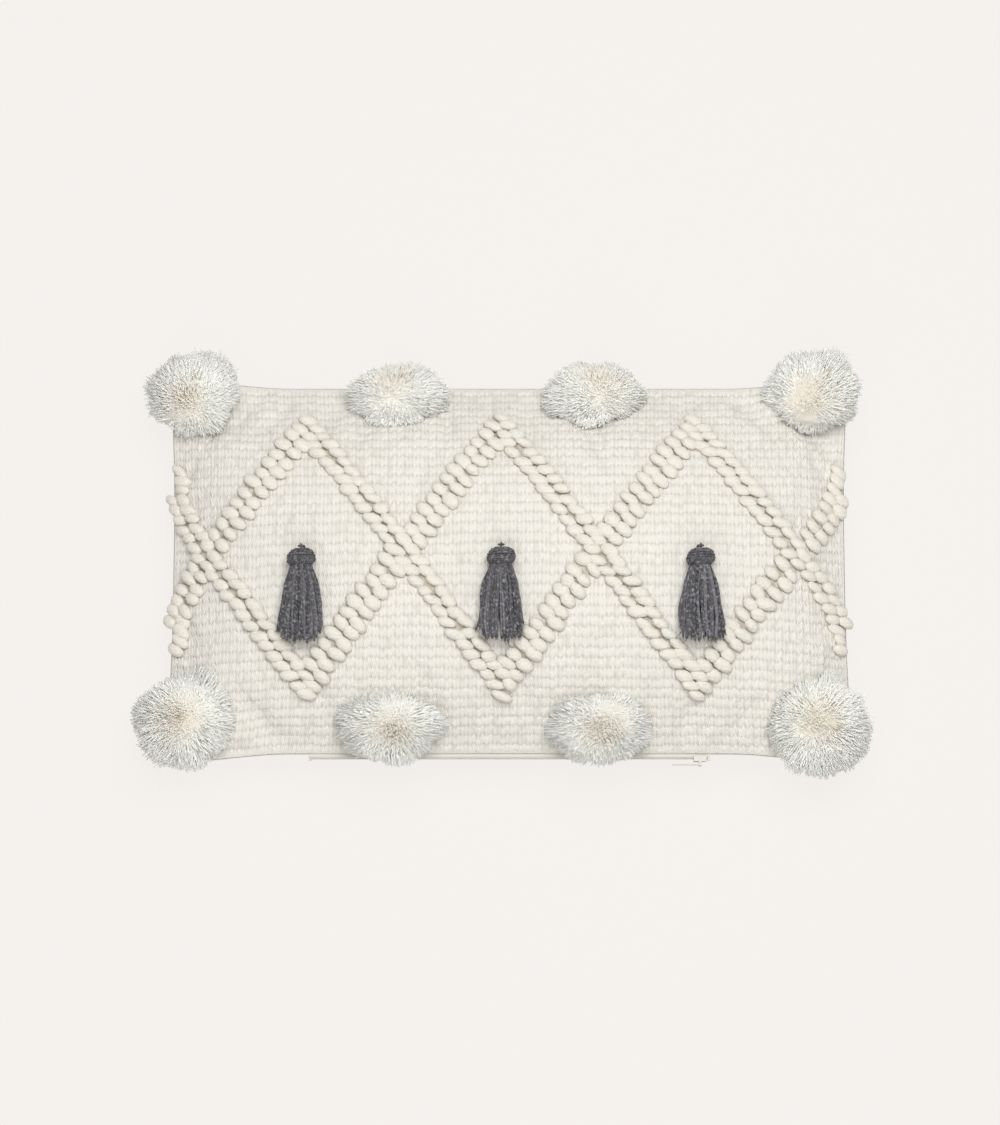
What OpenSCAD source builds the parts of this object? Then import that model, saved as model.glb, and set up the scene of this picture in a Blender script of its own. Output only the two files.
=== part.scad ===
// Rectangular throw pillow lying on its back, face up.
// Origin: middle of the resting face. +X runs along the length, +Y towards the top seam, +Z up.

/* [Cover] */
// Length of the filled cover between the side seams, at mid height
cover_length = 590; // [460:5:720]
// Height of the filled cover between the top and bottom seams, at mid length
cover_height = 326; // [260:2:400]
// How far the face rises above the seam
face_crown = 60; // [45:1:75]
// Height of the seam above the resting face
seam_height = 52; // [40:1:58]
// How much farther out the corners reach along the length
corner_reach_x = 7; // [0:1:12]
// How much farther out the corners reach along the height
corner_reach_y = 8; // [0:1:12]
// Thickness of the woven cloth
cover_cloth = 3; // [2:0.5:4]
// Width of the turned-in edge that is sewn
seam_edge = 4; // [3:0.5:6]

/* [Insert] */
// How far the insert's seam lies inside the cover's seam
insert_inset = 16; // [15:1:24]
// Thickness of the insert's casing cloth
casing_cloth = 1; // [0.8:0.1:1.4]
// Diameter of the thread that closes the casing
casing_thread_d = 0.8; // [0.6:0.1:1.2]
// Clearance between one layer and the next
layer_gap = 0.4; // [0.3:0.1:0.8]

/* [Zip] */
// Length of the zip in the bottom seam
zip_length = 350; // [240:5:370]
// Width of each zip tape
tape_w = 14; // [10:1:14]
// Thickness of each zip tape
tape_t = 0.8; // [0.6:0.1:1]
// How far the tapes stand out of the seam
tape_out = 2.5; // [2:0.25:4]
// Diameter of each coil of teeth
coil_d = 2.2; // [1.8:0.1:2.6]
// Running clearance between the slider and the coils
zip_gap = 0.3; // [0.2:0.05:0.5]
// Length of the slider
slider_l = 11; // [8:0.5:14]
// Wall of the slider
slider_wall = 1.4; // [1:0.1:1.8]
// Length of the pull, from its pin to its tip
pull_l = 24; // [16:1:32]
// Width of the pull
pull_w = 5; // [4:0.5:6]
// Thickness of the pull
pull_t = 1.4; // [1:0.1:1.8]
// Diameter of the pin that the pull turns on
pull_pin_d = 1.4; // [1:0.1:1.8]

/* [Loop ridges] */
// Whole diamonds along the cover
diamonds = 3; // [2:1:4]
// Distance from the last crossing of the ridges to the side seam
side_margin = 41; // [35:1:60]
// Distance from the diamonds' points to the top and bottom seams, along the cloth
point_margin = 51; // [40:1:70]
// Distance between the rows of loops, along a leg
loop_pitch = 11; // [9:0.5:13]
// Shift of the pattern along the length
pattern_shift_x = -7; // [-12:1:12]
// Shift of the pattern towards the top seam
pattern_shift_y = 7; // [-10:1:10]
// Length of one loop
loop_l = 11.5; // [10:0.5:12]
// Diameter of one loop
loop_d = 8.2; // [7:0.2:8.6]
// How far each loop stands above the cloth
loop_rise = 6.4; // [5:0.2:8]
// Distance between the two loops of a row
loop_spacing = 14.5; // [12:0.5:18]
// Lean of the loops on the legs that run down to the left
loop_lean_across = 38; // [20:1:45]
// Lean of the loops on the legs that run down to the right
loop_lean_along = 22; // [10:1:35]

/* [Pompoms] */
// Diameter of the corner pompoms
corner_pompom_d = 90; // [70:1:96]
// Width of the pompoms between the corners, along the seam
middle_pompom_w = 94; // [74:1:110]
// Depth of the pompoms between the corners, across the seam
middle_pompom_d = 70; // [60:1:74]
// Height of the pompoms above the cloth
pompom_h = 40; // [30:1:50]
// Distance from the top seam to the pompoms' ties
top_inset = 20; // [18:1:36]
// Distance from the bottom seam to the pompoms' ties
bottom_inset = 31; // [28:1:40]
// Distance from the left seam to the corner ties
left_inset = 17; // [12:1:40]
// Distance from the right seam to the corner ties
right_inset = 33; // [12:1:40]
// Distance of the left middle ties from mid length
left_middle_x = -101; // [-120:1:-70]
// Distance of the right middle ties from mid length
right_middle_x = 80; // [70:1:120]
// Diameter of the tie that gathers each pompom
tie_d = 7; // [5:0.5:9]

/* [Tassels] */
// Distance from the pattern's middle up to the cord's stitch
tassel_stitch_y = 4; // [0:1:12]
// Length of the cord between the stitch and the head
tassel_cord_l = 5; // [4:0.5:8]
// Diameter of the cord
tassel_cord_d = 2.4; // [1.6:0.2:3]
// Diameter of the head
tassel_head_d = 25; // [20:1:28]
// Length of the head
tassel_head_l = 18; // [14:1:22]
// Width of the wrapping under the head
tassel_wrap_w = 4; // [3:0.5:6]
// Length of the skirt
skirt_l = 55; // [40:1:62]
// Width of the skirt at its ends
skirt_w = 43; // [30:1:50]
// Thickness of the skirt at its ends
skirt_t = 12; // [8:1:14]

/* [Hidden] */
// The insert's outline, layers and folded edges
casing_edge = 3;
thin_skin = 0.1;
floor_blend = 4;
end_power = 4;
flare_power = 3;
shell_u = 34;
shell_v = 22;
inner_u = 24;
inner_v = 14;

// Heights of the folded edges on either side of the seam
seam_gap = 2 * tape_t + 2 * thin_skin;
face_edge_z = seam_height + seam_gap / 2;
back_edge_z = seam_height - seam_gap / 2;
cover_thread_d = seam_gap;
casing_face_z = seam_height + casing_thread_d / 2;
casing_back_z = seam_height - casing_thread_d / 2;
fill_inset = insert_inset + casing_edge + layer_gap;
casing_drop = cover_cloth + layer_gap;
fill_drop = casing_drop + casing_cloth + layer_gap;

// The straight stretch of the bottom seam, and the zip in it
half_l = cover_length / 2;
half_h = cover_height / 2;
zip_end_room = 12;
zip_thread_gap = 0.01;
straight_u = (zip_length / 2 + zip_end_room) / half_l;
stop_l = 3;
stop_t = 0.5;
tape_edge_y = -(half_h + tape_out);
coil_y = tape_edge_y - coil_d / 2;
coils_apart = 0.1;
coil_z = (coil_d + coils_apart) / 2;
channel_z = coil_z + coil_d / 2 + zip_gap;
channel_y = coil_y - coil_d / 2 - zip_gap;
slider_face_y = channel_y - slider_wall;
slider_lip_y = tape_edge_y + zip_gap;
slider_half_z = channel_z + slider_wall;
slit_half = tape_t + thin_skin + zip_gap;
slider_x = zip_length / 2 - stop_l - zip_gap - slider_l / 2;
slider_travel = 2 * slider_x;
eye_wall = 1;
pull_eye_d = pull_pin_d + 2 * (zip_gap + eye_wall);
pin_y = slider_face_y - pull_eye_d / 2 - zip_gap;
ear_t = 0.9;
ear_rim = 0.6;
ear_root = 0.2;
pin_l = pull_w + 2 * (zip_gap + ear_t);

// Lengths along the cloth, and the pattern laid out on it
length_gain = 0.98;
height_gain = 0.63;
function along_cloth(half, gain) = half * (1 + gain * pow(face_crown / half, 2));
cloth_half_l = along_cloth(half_l, length_gain);
cloth_half_h = along_cloth(half_h, height_gain);
half_diamond = (half_l - side_margin) / diamonds;
leg_h = cloth_half_h - point_margin;
leg_w = half_diamond + loop_spacing / 2;
rows_per_leg = round(norm([leg_w, leg_h]) / loop_pitch);
row_pitch = leg_h / rows_per_leg;
row_step = leg_w / rows_per_leg;
loop_sink = loop_d / 2 - loop_rise;
loop_keep_in = loop_l / 2 + 3;
// Places along a loop and its girth there, as shares of its length and diameter
loop_taper = [[-0.5, 0.25], [-0.36, 0.72], [-0.15, 0.97], [0.15, 0.97], [0.36, 0.72], [0.5, 0.25]];

// Pompoms and ties
tie_gap = 0.4;
pompom_steps = 9;
pile_foot = 0.5;
pile_foot_share = 0.55;
pile_foot_lift = 3.6;
pile_belly_z = 17;
pile_flat_share = 0.2;
pile_turn = [-25, 75];
bed_sink = 12;
bed_d = 34;
knot_sink = 8;
knot_extra = 2;
tie_lift = 0.1;
tie_x = [-(half_l - left_inset), left_middle_x, right_middle_x, half_l - right_inset];

// Tassels: the middle line clears the ridges when the tassel swings
cord_gap = 0.3;
// The head's eye turns on the top bar of a loop in the cord
head_eye_w = 2;
head_eye_wall = 1.1;
head_eye_d = tassel_cord_d + 2 * (cord_gap + head_eye_wall);
head_stem_d = 1.6;
head_stem_sink = 1;
thread_share = 0.8;
loop_leg_x = (head_eye_w + tassel_cord_d) / 2 + cord_gap;
loop_bar_l = 2 * loop_leg_x + tassel_cord_d;
loop_drop = (head_eye_d + tassel_cord_d) / 2 + cord_gap;
tassel_l = tassel_cord_l + tassel_head_l + tassel_wrap_w + skirt_l;
tassel_count = diamonds;
wrap_d = 17;
head_tuck = 2;
neck_d = 15;
skirt_rings = 7;
skirt_sides = 20;
ridge_gap = 0.8;
axis_rise = max(loop_rise + ridge_gap + skirt_t / 2, tassel_head_d / 2 + ridge_gap);

ridge_rows = ["upper", "lower"];
sides = ["left", "right"];

$fn = 48;

// ---- The filled shape: u and v run from -1 to 1 between the seams ----

function clamp01(t) = min(1, max(0, t));
function ease(t) = t * t * (3 - 2 * t);
function seam_x(v) = half_l + corner_reach_x * pow(abs(v), flare_power);
function seam_y(u) = half_h + corner_reach_y * ease(clamp01((abs(u) - straight_u) / (1 - straight_u)));
function fullness(u, v) = (1 - pow(abs(u), end_power)) * (1 - v * v);
function soft_floor(z) =
    z <= -floor_blend ? 0 : z >= floor_blend ? z : pow(z + floor_blend, 2) / (4 * floor_blend);

function outline(u, v, inset) = [u * (seam_x(v) - inset), v * (seam_y(u) - inset)];
function face_point(u, v, inset, edge_z, drop) =
    concat(outline(u, v, inset), edge_z + (face_crown - drop) * fullness(u, v));
function back_point(u, v, inset, edge_z, lift) =
    concat(outline(u, v, inset), lift + soft_floor(edge_z - lift - (face_crown - lift) * fullness(u, v)));

// Height and direction of the face at a place on the cover
function place_u(x, y) = x / seam_x(y / half_h);
function place_v(x, y) = y / seam_y(place_u(x, y));
function face_z(x, y) = face_edge_z + face_crown * fullness(place_u(x, y), place_v(x, y));
function unit(v) = v / norm(v);
function face_normal(x, y) =
    unit([face_z(x - 1, y) - face_z(x + 1, y), face_z(x, y - 1) - face_z(x, y + 1), 2]);
// A frame on the face: its z stands out of the cloth and its y points up the face
function face_frame(x, y) =
    let (out = face_normal(x, y), side = unit(cross([0, 1, 0], out)), up = cross(out, side))
    [[side.x, up.x, out.x, x],
     [side.y, up.y, out.y, y],
     [side.z, up.z, out.z, face_z(x, y)],
     [0, 0, 0, 1]];

// Grid points gather towards the seams, where the cloth turns most
function spread(k, n) = sin(90 * (2 * k / n - 1));
function grid_faces(nu, nv, from, flip) = [
    for (j = [0:nv - 1], i = [0:nu - 1])
        let (a = from + j * (nu + 1) + i, b = a + 1, c = b + nu + 1, d = a + nu + 1)
        each flip ? [[a, b, c], [a, c, d]] : [[a, c, b], [a, d, c]]];
function rim(nu, nv) = concat(
    [for (i = [0:nu - 1]) i],
    [for (j = [0:nv - 1]) j * (nu + 1) + nu],
    [for (i = [nu:-1:1]) nv * (nu + 1) + i],
    [for (j = [nv:-1:1]) j * (nu + 1)]);

// A closed body between an upper and a lower sheet of grid points
module between(upper, lower, nu, nv) {
    count = (nu + 1) * (nv + 1);
    edge = rim(nu, nv);
    wall = [
        for (k = [0:len(edge) - 1])
            let (a = edge[k], b = edge[(k + 1) % len(edge)])
            each [[a, b, b + count], [a, b + count, a + count]]];
    polyhedron(
        points = concat(upper, lower),
        faces = concat(grid_faces(nu, nv, 0, false), grid_faces(nu, nv, count, true), wall));
}

// A round thread through points, on rings that stay upright
module thread(path, d, sides, closed) {
    n = len(path);
    last = n - 1;
    function ahead(k) = closed ? path[(k + 1) % n] : path[min(k + 1, last)];
    function behind(k) = closed ? path[(k + last) % n] : path[max(k - 1, 0)];
    points = [
        for (k = [0:last])
            let (along = unit(ahead(k) - behind(k)), across = cross(along, [0, 0, 1]))
            for (s = [0:sides - 1])
                let (turn = 360 * s / sides)
                path[k] + d / 2 * (cos(turn) * across + sin(turn) * [0, 0, 1])];
    skin = [
        for (k = [0:(closed ? last : last - 1)], s = [0:sides - 1])
            let (a = k * sides + s, b = k * sides + (s + 1) % sides,
                 c = ((k + 1) % n) * sides + (s + 1) % sides, e = ((k + 1) % n) * sides + s)
            each [[a, b, c], [a, c, e]]];
    caps = closed ? [] : [
        [for (s = [sides - 1:-1:0]) s],
        [for (s = [0:sides - 1]) last * sides + s]];
    polyhedron(points = points, faces = concat(skin, caps));
}

// ---- Cover ----

module front_panel() {
    color("ivory") between(
        [for (j = [0:shell_v], i = [0:shell_u])
            face_point(spread(i, shell_u), spread(j, shell_v), 0, face_edge_z, 0)],
        [for (j = [0:shell_v], i = [0:shell_u])
            face_point(spread(i, shell_u), spread(j, shell_v), seam_edge, face_edge_z, cover_cloth)],
        shell_u, shell_v);
}

module back_panel() {
    color("linen") between(
        [for (j = [0:shell_v], i = [0:shell_u])
            back_point(spread(i, shell_u), spread(j, shell_v), seam_edge, back_edge_z, cover_cloth)],
        [for (j = [0:shell_v], i = [0:shell_u])
            back_point(spread(i, shell_u), spread(j, shell_v), 0, back_edge_z, 0)],
        shell_u, shell_v);
}

// The sewn edge runs round from one end of the zip to the other
module cover_seam_thread() {
    inset = seam_edge / 2;
    start_u = zip_length / 2 / half_l + zip_thread_gap;
    long = 20;
    short = 13;
    rest = 6;
    path = concat(
        [for (k = [0:rest]) outline(start_u + (1 - start_u) * k / rest, -1, inset)],
        [for (k = [1:short]) outline(1, 2 * k / short - 1, inset)],
        [for (k = [1:long]) outline(1 - 2 * k / long, 1, inset)],
        [for (k = [1:short]) outline(-1, 1 - 2 * k / short, inset)],
        [for (k = [1:rest]) outline(-1 + (1 - start_u) * k / rest, -1, inset)]);
    color("oldlace") thread([for (p = path) concat(p, seam_height)], cover_thread_d, 8, false);
}

// ---- Zip in the bottom seam ----

module zip_tape(side) {
    z = seam_height + (side > 0 ? thin_skin : -thin_skin - tape_t);
    color("ivory") translate([-zip_length / 2, tape_edge_y, z]) cube([zip_length, tape_w, tape_t]);
}

module zip_coil(side) {
    color("whitesmoke") translate([-zip_length / 2, coil_y, seam_height + side * coil_z])
        rotate([0, 90, 0]) cylinder(h = zip_length, d = coil_d);
}

// A clip across both coils that the slider stops against
module zip_stop(end) {
    clip_h = 2 * coil_z + coil_d;
    clip_y = coil_y - coil_d / 2 - stop_t / 2;
    color("silver") translate([end * (zip_length / 2 - stop_l / 2), clip_y, seam_height])
        cube([stop_l, stop_t, clip_h], center = true);
}

module zip_slider() {
    width = 2 * slider_half_z;
    depth = slider_lip_y + slider_wall / 2 - slider_face_y;
    color("silver") translate([slider_x, 0, seam_height]) {
        difference() {
            translate([-slider_l / 2, slider_face_y, -slider_half_z]) cube([slider_l, depth, width]);
            translate([-slider_l / 2 - 1, channel_y, -channel_z])
                cube([slider_l + 2, slider_lip_y - channel_y, 2 * channel_z]);
            translate([-slider_l / 2 - 1, channel_y, -slit_half])
                cube([slider_l + 2, 2 * depth, 2 * slit_half]);
        }
        for (side = [-1, 1]) slider_ear(side);
        translate([0, pin_y, 0]) cylinder(h = pin_l, d = pull_pin_d, center = true);
    }
}

module slider_ear(side) {
    ear_d = pull_pin_d + 2 * ear_rim;
    translate([0, 0, side * (pull_w / 2 + zip_gap + ear_t / 2)]) {
        translate([0, pin_y, 0]) cylinder(h = ear_t, d = ear_d, center = true);
        translate([0, (pin_y + slider_face_y + ear_root) / 2, 0])
            cube([ear_d, slider_face_y + ear_root - pin_y, ear_t], center = true);
    }
}

module zip_pull() {
    hole_d = pull_pin_d + 2 * zip_gap;
    color("silver") translate([slider_x, pin_y, seam_height]) difference() {
        union() {
            cylinder(h = pull_w, d = pull_eye_d, center = true);
            translate([-pull_l / 2, 0, 0]) cube([pull_l, pull_t, pull_w], center = true);
        }
        cylinder(h = pull_w + 2, d = hole_d, center = true);
    }
}

// ---- Insert ----

module insert_casing_front() {
    color("white") between(
        [for (j = [0:inner_v], i = [0:inner_u])
            face_point(spread(i, inner_u), spread(j, inner_v), insert_inset, casing_face_z, casing_drop)],
        [for (j = [0:inner_v], i = [0:inner_u])
            face_point(spread(i, inner_u), spread(j, inner_v), insert_inset + casing_edge,
                casing_face_z, casing_drop + casing_cloth)],
        inner_u, inner_v);
}

module insert_casing_back() {
    color("white") between(
        [for (j = [0:inner_v], i = [0:inner_u])
            back_point(spread(i, inner_u), spread(j, inner_v), insert_inset + casing_edge,
                casing_back_z, casing_drop + casing_cloth)],
        [for (j = [0:inner_v], i = [0:inner_u])
            back_point(spread(i, inner_u), spread(j, inner_v), insert_inset, casing_back_z, casing_drop)],
        inner_u, inner_v);
}

module insert_seam_thread() {
    inset = insert_inset + casing_edge / 2;
    along = 22;
    short = 12;
    path = concat(
        [for (k = [0:along - 1]) outline(2 * k / along - 1, -1, inset)],
        [for (k = [0:short - 1]) outline(1, 2 * k / short - 1, inset)],
        [for (k = [0:along - 1]) outline(1 - 2 * k / along, 1, inset)],
        [for (k = [0:short - 1]) outline(-1, 1 - 2 * k / short, inset)]);
    color("white") thread([for (p = path) concat(p, seam_height)], casing_thread_d, 6, true);
}

module fibre_fill() {
    color("white") between(
        [for (j = [0:inner_v], i = [0:inner_u])
            face_point(spread(i, inner_u), spread(j, inner_v), fill_inset, casing_face_z, fill_drop)],
        [for (j = [0:inner_v], i = [0:inner_u])
            back_point(spread(i, inner_u), spread(j, inner_v), fill_inset, casing_back_z, fill_drop)],
        inner_u, inner_v);
}

// ---- Loop ridges: two crossing zigzags of pile loops ----

// Cloth between the seams is longer than the filled cover, mostly where the face turns down
function cloth_to_y(s) = s * (1 - (1 - half_h / cloth_half_h) * pow(s / cloth_half_h, 2));

// One loop: a spindle of short tapers that leans across the leg
module pile_loop(lean) {
    rotate([0, 0, -lean]) rotate([0, 90, 0]) rotate_extrude() polygon(concat(
        [[0, -loop_l / 2]],
        [for (p = loop_taper) [p.y * loop_d / 2, p.x * loop_l]],
        [[0, loop_l / 2]]));
}

// Loops of one leg, from a crossing: right is 1 or -1 along the length, up is 1 or -1.
// The legs that run to the right own the loops that stand on a crossing's or a point's own line.
module loop_ridge(crossing_x, right, up, rows) {
    lean = right * up > 0 ? loop_lean_across : loop_lean_along;
    color("ivory") for (row = [0:rows], part = [-1, 1]) {
        out = row * row_step + part * loop_spacing / 2;
        on_line = abs(out) < row_step / 2 || abs(out - half_diamond) < row_step / 2;
        past_line = out < 0 || out > half_diamond;
        owned = on_line ? right > 0 : !past_line;
        x = crossing_x + right * out;
        y = pattern_shift_y + up * cloth_to_y(row * row_pitch);
        first_row = row > 0 || up > 0;
        if (owned && first_row && abs(x) < half_l - loop_keep_in)
            multmatrix(face_frame(x, y)) translate([0, 0, -loop_sink]) pile_loop(lean);
    }
}

function crossing_x(i) = pattern_shift_x + (i - diamonds / 2) * 2 * half_diamond;
side_rows = floor((side_margin - loop_keep_in) / row_step + 1);

// Leg 1 is the left one. Odd legs climb away from a crossing, even legs come down to the next.
module ridge_leg(leg, up) {
    from = floor(leg / 2);
    loop_ridge(crossing_x(from), leg % 2 == 1 ? 1 : -1, up, rows_per_leg);
}

module ridge_end(side, up) {
    loop_ridge(crossing_x(side > 0 ? diamonds : 0), side, up, side_rows);
}

// ---- Pompoms ----

// Half of the section of a pile of cut yarn, open in the middle for its tie
function pompom_section(r) = concat(
    [[tie_d / 2 + tie_gap, pile_foot], [r * pile_foot_share, pile_foot_lift]],
    [for (k = [0:pompom_steps])
        let (turn = pile_turn[0] + (pile_turn[1] - pile_turn[0]) * k / pompom_steps)
        [r * (pile_flat_share + (1 - pile_flat_share) * cos(turn)),
         pile_belly_z + (pompom_h - pile_belly_z) * sin(turn) / sin(pile_turn[1])]],
    [[tie_d / 2 + tie_gap, pompom_h - bed_sink]]);

module corner_pompom() {
    rotate_extrude() polygon(pompom_section(corner_pompom_d / 2));
}

// A longer pile: one round pile beside another, with the tie between them
module middle_pompom() {
    apart = (middle_pompom_w - middle_pompom_d) / 2;
    channel_d = tie_d + 2 * tie_gap;
    difference() {
        for (side = [-1, 1]) translate([side * apart, 0, 0]) rotate_extrude()
            polygon(concat(
                [[0, pile_foot]],
                pompom_section(middle_pompom_d / 2),
                [[0, pompom_h - bed_sink]]));
        cylinder(h = pompom_h * 3, d = channel_d, center = true);
        translate([0, 0, pompom_h - bed_sink]) cylinder(h = 2 * bed_sink, d1 = channel_d, d2 = bed_d);
    }
}

function tie_y(row) = row == "top" ? half_h - top_inset : bottom_inset - half_h;

module pompom(row, i) {
    color("white") multmatrix(face_frame(tie_x[i - 1], tie_y(row)))
        if (i == 1 || i == 4) corner_pompom(); else middle_pompom();
}

// The gathering tie: a stem through the pile and the knot that shows in its middle
module pompom_tie(row, i) {
    color("tan") multmatrix(face_frame(tie_x[i - 1], tie_y(row))) {
        translate([0, 0, tie_lift]) cylinder(h = pompom_h - bed_sink, d = tie_d);
        translate([0, 0, pompom_h - knot_sink]) sphere(d = tie_d + knot_extra);
    }
}

// ---- Tassels ----

// The frame of a tassel lies flat on the face at the tassel's middle; its y runs up the tassel
function tassel_x(i) = crossing_x(i - 0.5);
function tassel_mid_y() = pattern_shift_y + tassel_stitch_y - tassel_l / 2;
function tassel_frame(i) = face_frame(tassel_x(i), tassel_mid_y());
stitch_y = tassel_l / 2;
head_top_y = stitch_y - tassel_cord_l;
head_end_y = head_top_y - tassel_head_l;
wrap_end_y = head_end_y - tassel_wrap_w;

// Height of the cloth in a tassel's frame where its cord is stitched
function stitch_z(i) =
    let (m = tassel_frame(i), x = m[0][3] + stitch_y * m[0][1], y = m[1][3] + stitch_y * m[1][1])
    [x - m[0][3], y - m[1][3], face_z(x, y) - m[2][3]] * [m[0][2], m[1][2], m[2][2]];

// The cord stands up from its stitch and opens into a loop with a bar across its top
module tassel_cord(i) {
    foot_z = stitch_z(i) + thin_skin;
    thread_d = thread_share * tassel_cord_d;
    color("dimgray") multmatrix(tassel_frame(i)) translate([0, stitch_y, 0]) {
        translate([0, 0, foot_z]) cylinder(h = axis_rise - loop_drop - foot_z, d = thread_d);
        for (drop = [0, loop_drop]) translate([0, 0, axis_rise - drop]) rotate([0, 90, 0])
            cylinder(h = loop_bar_l, d = tassel_cord_d, center = true);
        for (side = [-1, 1]) translate([side * loop_leg_x, 0, axis_rise - loop_drop])
            cylinder(h = loop_drop, d = thread_d);
    }
}

module tassel_head(i) {
    r = tassel_head_d / 2;
    straight = tassel_head_l - r;
    color("dimgray") multmatrix(tassel_frame(i)) translate([0, 0, axis_rise]) {
        translate([0, head_end_y, 0]) rotate([-90, 0, 0]) rotate_extrude() {
            intersection() {
                translate([0, straight]) circle(r = r, $fn = 96);
                translate([0, straight]) square([r, r]);
            }
            polygon([[0, 0], [neck_d / 2, 0], [r - head_tuck, head_tuck], [r, straight], [0, straight]]);
        }
        head_eye();
    }
}

// The eye on a stem at the head's top
module head_eye() {
    stem_l = tassel_cord_l + head_stem_sink - (head_eye_d - head_eye_wall) / 2;
    translate([0, stitch_y, 0]) rotate([0, 90, 0]) difference() {
        cylinder(h = head_eye_w, d = head_eye_d, center = true);
        cylinder(h = 2 * head_eye_w, d = tassel_cord_d + 2 * cord_gap, center = true);
    }
    translate([0, head_top_y - head_stem_sink, 0]) rotate([-90, 0, 0]) cylinder(h = stem_l, d = head_stem_d);
}

module tassel_wrap(i) {
    color("dimgray") multmatrix(tassel_frame(i)) translate([0, wrap_end_y, axis_rise])
        rotate([-90, 0, 0]) cylinder(h = tassel_wrap_w, d = wrap_d);
}

// Cut yarn that spreads as it comes down
module tassel_skirt(i) {
    function half_w(t) = (neck_d + (skirt_w - neck_d) * pow(t, 0.7)) / 2;
    function half_t(t) = (neck_d + (skirt_t - neck_d) * t) / 2;
    points = [
        for (k = [0:skirt_rings], s = [0:skirt_sides - 1])
            let (t = k / skirt_rings, turn = 360 * s / skirt_sides)
            [half_w(t) * cos(turn), wrap_end_y - skirt_l * t, axis_rise + half_t(t) * sin(turn)]];
    skin = [
        for (k = [0:skirt_rings - 1], s = [0:skirt_sides - 1])
            let (a = k * skirt_sides + s, b = k * skirt_sides + (s + 1) % skirt_sides)
            each [[a, b, b + skirt_sides], [a, b + skirt_sides, a + skirt_sides]]];
    caps = [
        [for (s = [skirt_sides - 1:-1:0]) s],
        [for (s = [0:skirt_sides - 1]) skirt_rings * skirt_sides + s]];
    color("dimgray") multmatrix(tassel_frame(i)) polyhedron(points = points, faces = concat(skin, caps));
}

// ---- What is drawn ----

front_panel();
back_panel();
cover_seam_thread();
zip_tape(1);  // zip_tape_front
zip_tape(-1);  // zip_tape_back
zip_coil(1);  // zip_coil_front
zip_coil(-1);  // zip_coil_back
zip_stop(1);  // zip_closed_stop
zip_stop(-1);  // zip_open_stop
zip_slider();
zip_pull();
insert_casing_front();
insert_casing_back();
insert_seam_thread();
fibre_fill();
for (leg = [1:2 * diamonds]) {
    ridge_leg(leg, 1);
    ridge_leg(leg, -1);
}
ridge_end(-1, 1);  // loop_ridge_upper_left
ridge_end(-1, -1);  // loop_ridge_lower_left
ridge_end(1, 1);  // loop_ridge_upper_right
ridge_end(1, -1);  // loop_ridge_lower_right
for (row = ["top", "bottom"], i = [1:4]) {
    pompom(row, i);
    pompom_tie(row, i);
}
for (i = [1:tassel_count]) {
    tassel_cord(i);
    tassel_head(i);
    tassel_wrap(i);
    tassel_skirt(i);
}
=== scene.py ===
import math

import bpy
import numpy as np
from mathutils import Matrix, Vector
from mathutils.bvhtree import BVHTree


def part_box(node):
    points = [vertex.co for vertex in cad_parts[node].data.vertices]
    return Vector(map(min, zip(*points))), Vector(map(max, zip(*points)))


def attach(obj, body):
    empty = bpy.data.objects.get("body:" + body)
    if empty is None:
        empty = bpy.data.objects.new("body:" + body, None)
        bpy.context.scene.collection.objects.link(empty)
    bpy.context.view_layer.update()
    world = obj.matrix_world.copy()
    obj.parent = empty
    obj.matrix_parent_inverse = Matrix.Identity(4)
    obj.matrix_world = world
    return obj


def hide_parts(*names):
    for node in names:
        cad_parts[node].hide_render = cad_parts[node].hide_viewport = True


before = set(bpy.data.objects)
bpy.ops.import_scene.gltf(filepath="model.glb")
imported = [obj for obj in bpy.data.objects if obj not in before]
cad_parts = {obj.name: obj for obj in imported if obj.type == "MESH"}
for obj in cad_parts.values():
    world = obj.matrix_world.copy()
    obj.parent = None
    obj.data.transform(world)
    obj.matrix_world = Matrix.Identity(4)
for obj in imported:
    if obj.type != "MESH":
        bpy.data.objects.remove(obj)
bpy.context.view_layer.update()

scene = bpy.context.scene
goldenTurn = 2.399963       # radians; steps of this turn spread places evenly round a circle


# ---- studio ----

studio = {
    "elevation": 80,            # degrees above the floor
    "distance": 3.0,
    "aim": (-0.008, 0.0067, 0.052),
    "pictureHeight": 0.99,      # metres seen from top to bottom at the aim point
    "floorColour": (0.900, 0.868, 0.843, 1), "floorSize": 14,
    "floorGlow": 0.94,          # share of the floor that takes no shadow
    "skyColour": (1.0, 0.985, 0.965, 1), "skyStrength": 0.43,
    "keyPlace": (0.20, 0.40, 2.3), "keySize": 1.2, "keyPower": 43,
    "fillPlace": (-0.1, -1.2, 1.9), "fillSize": 1.6, "fillPower": 13,
}


def addLight(name, place, size, power):
    bpy.ops.object.light_add(type="AREA", location=place)
    light = bpy.context.object
    light.name = name
    light.data.size = size
    light.data.energy = power
    light.rotation_euler = (Vector(studio["aim"]) - Vector(place)).to_track_quat("-Z", "Y").to_euler()


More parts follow.
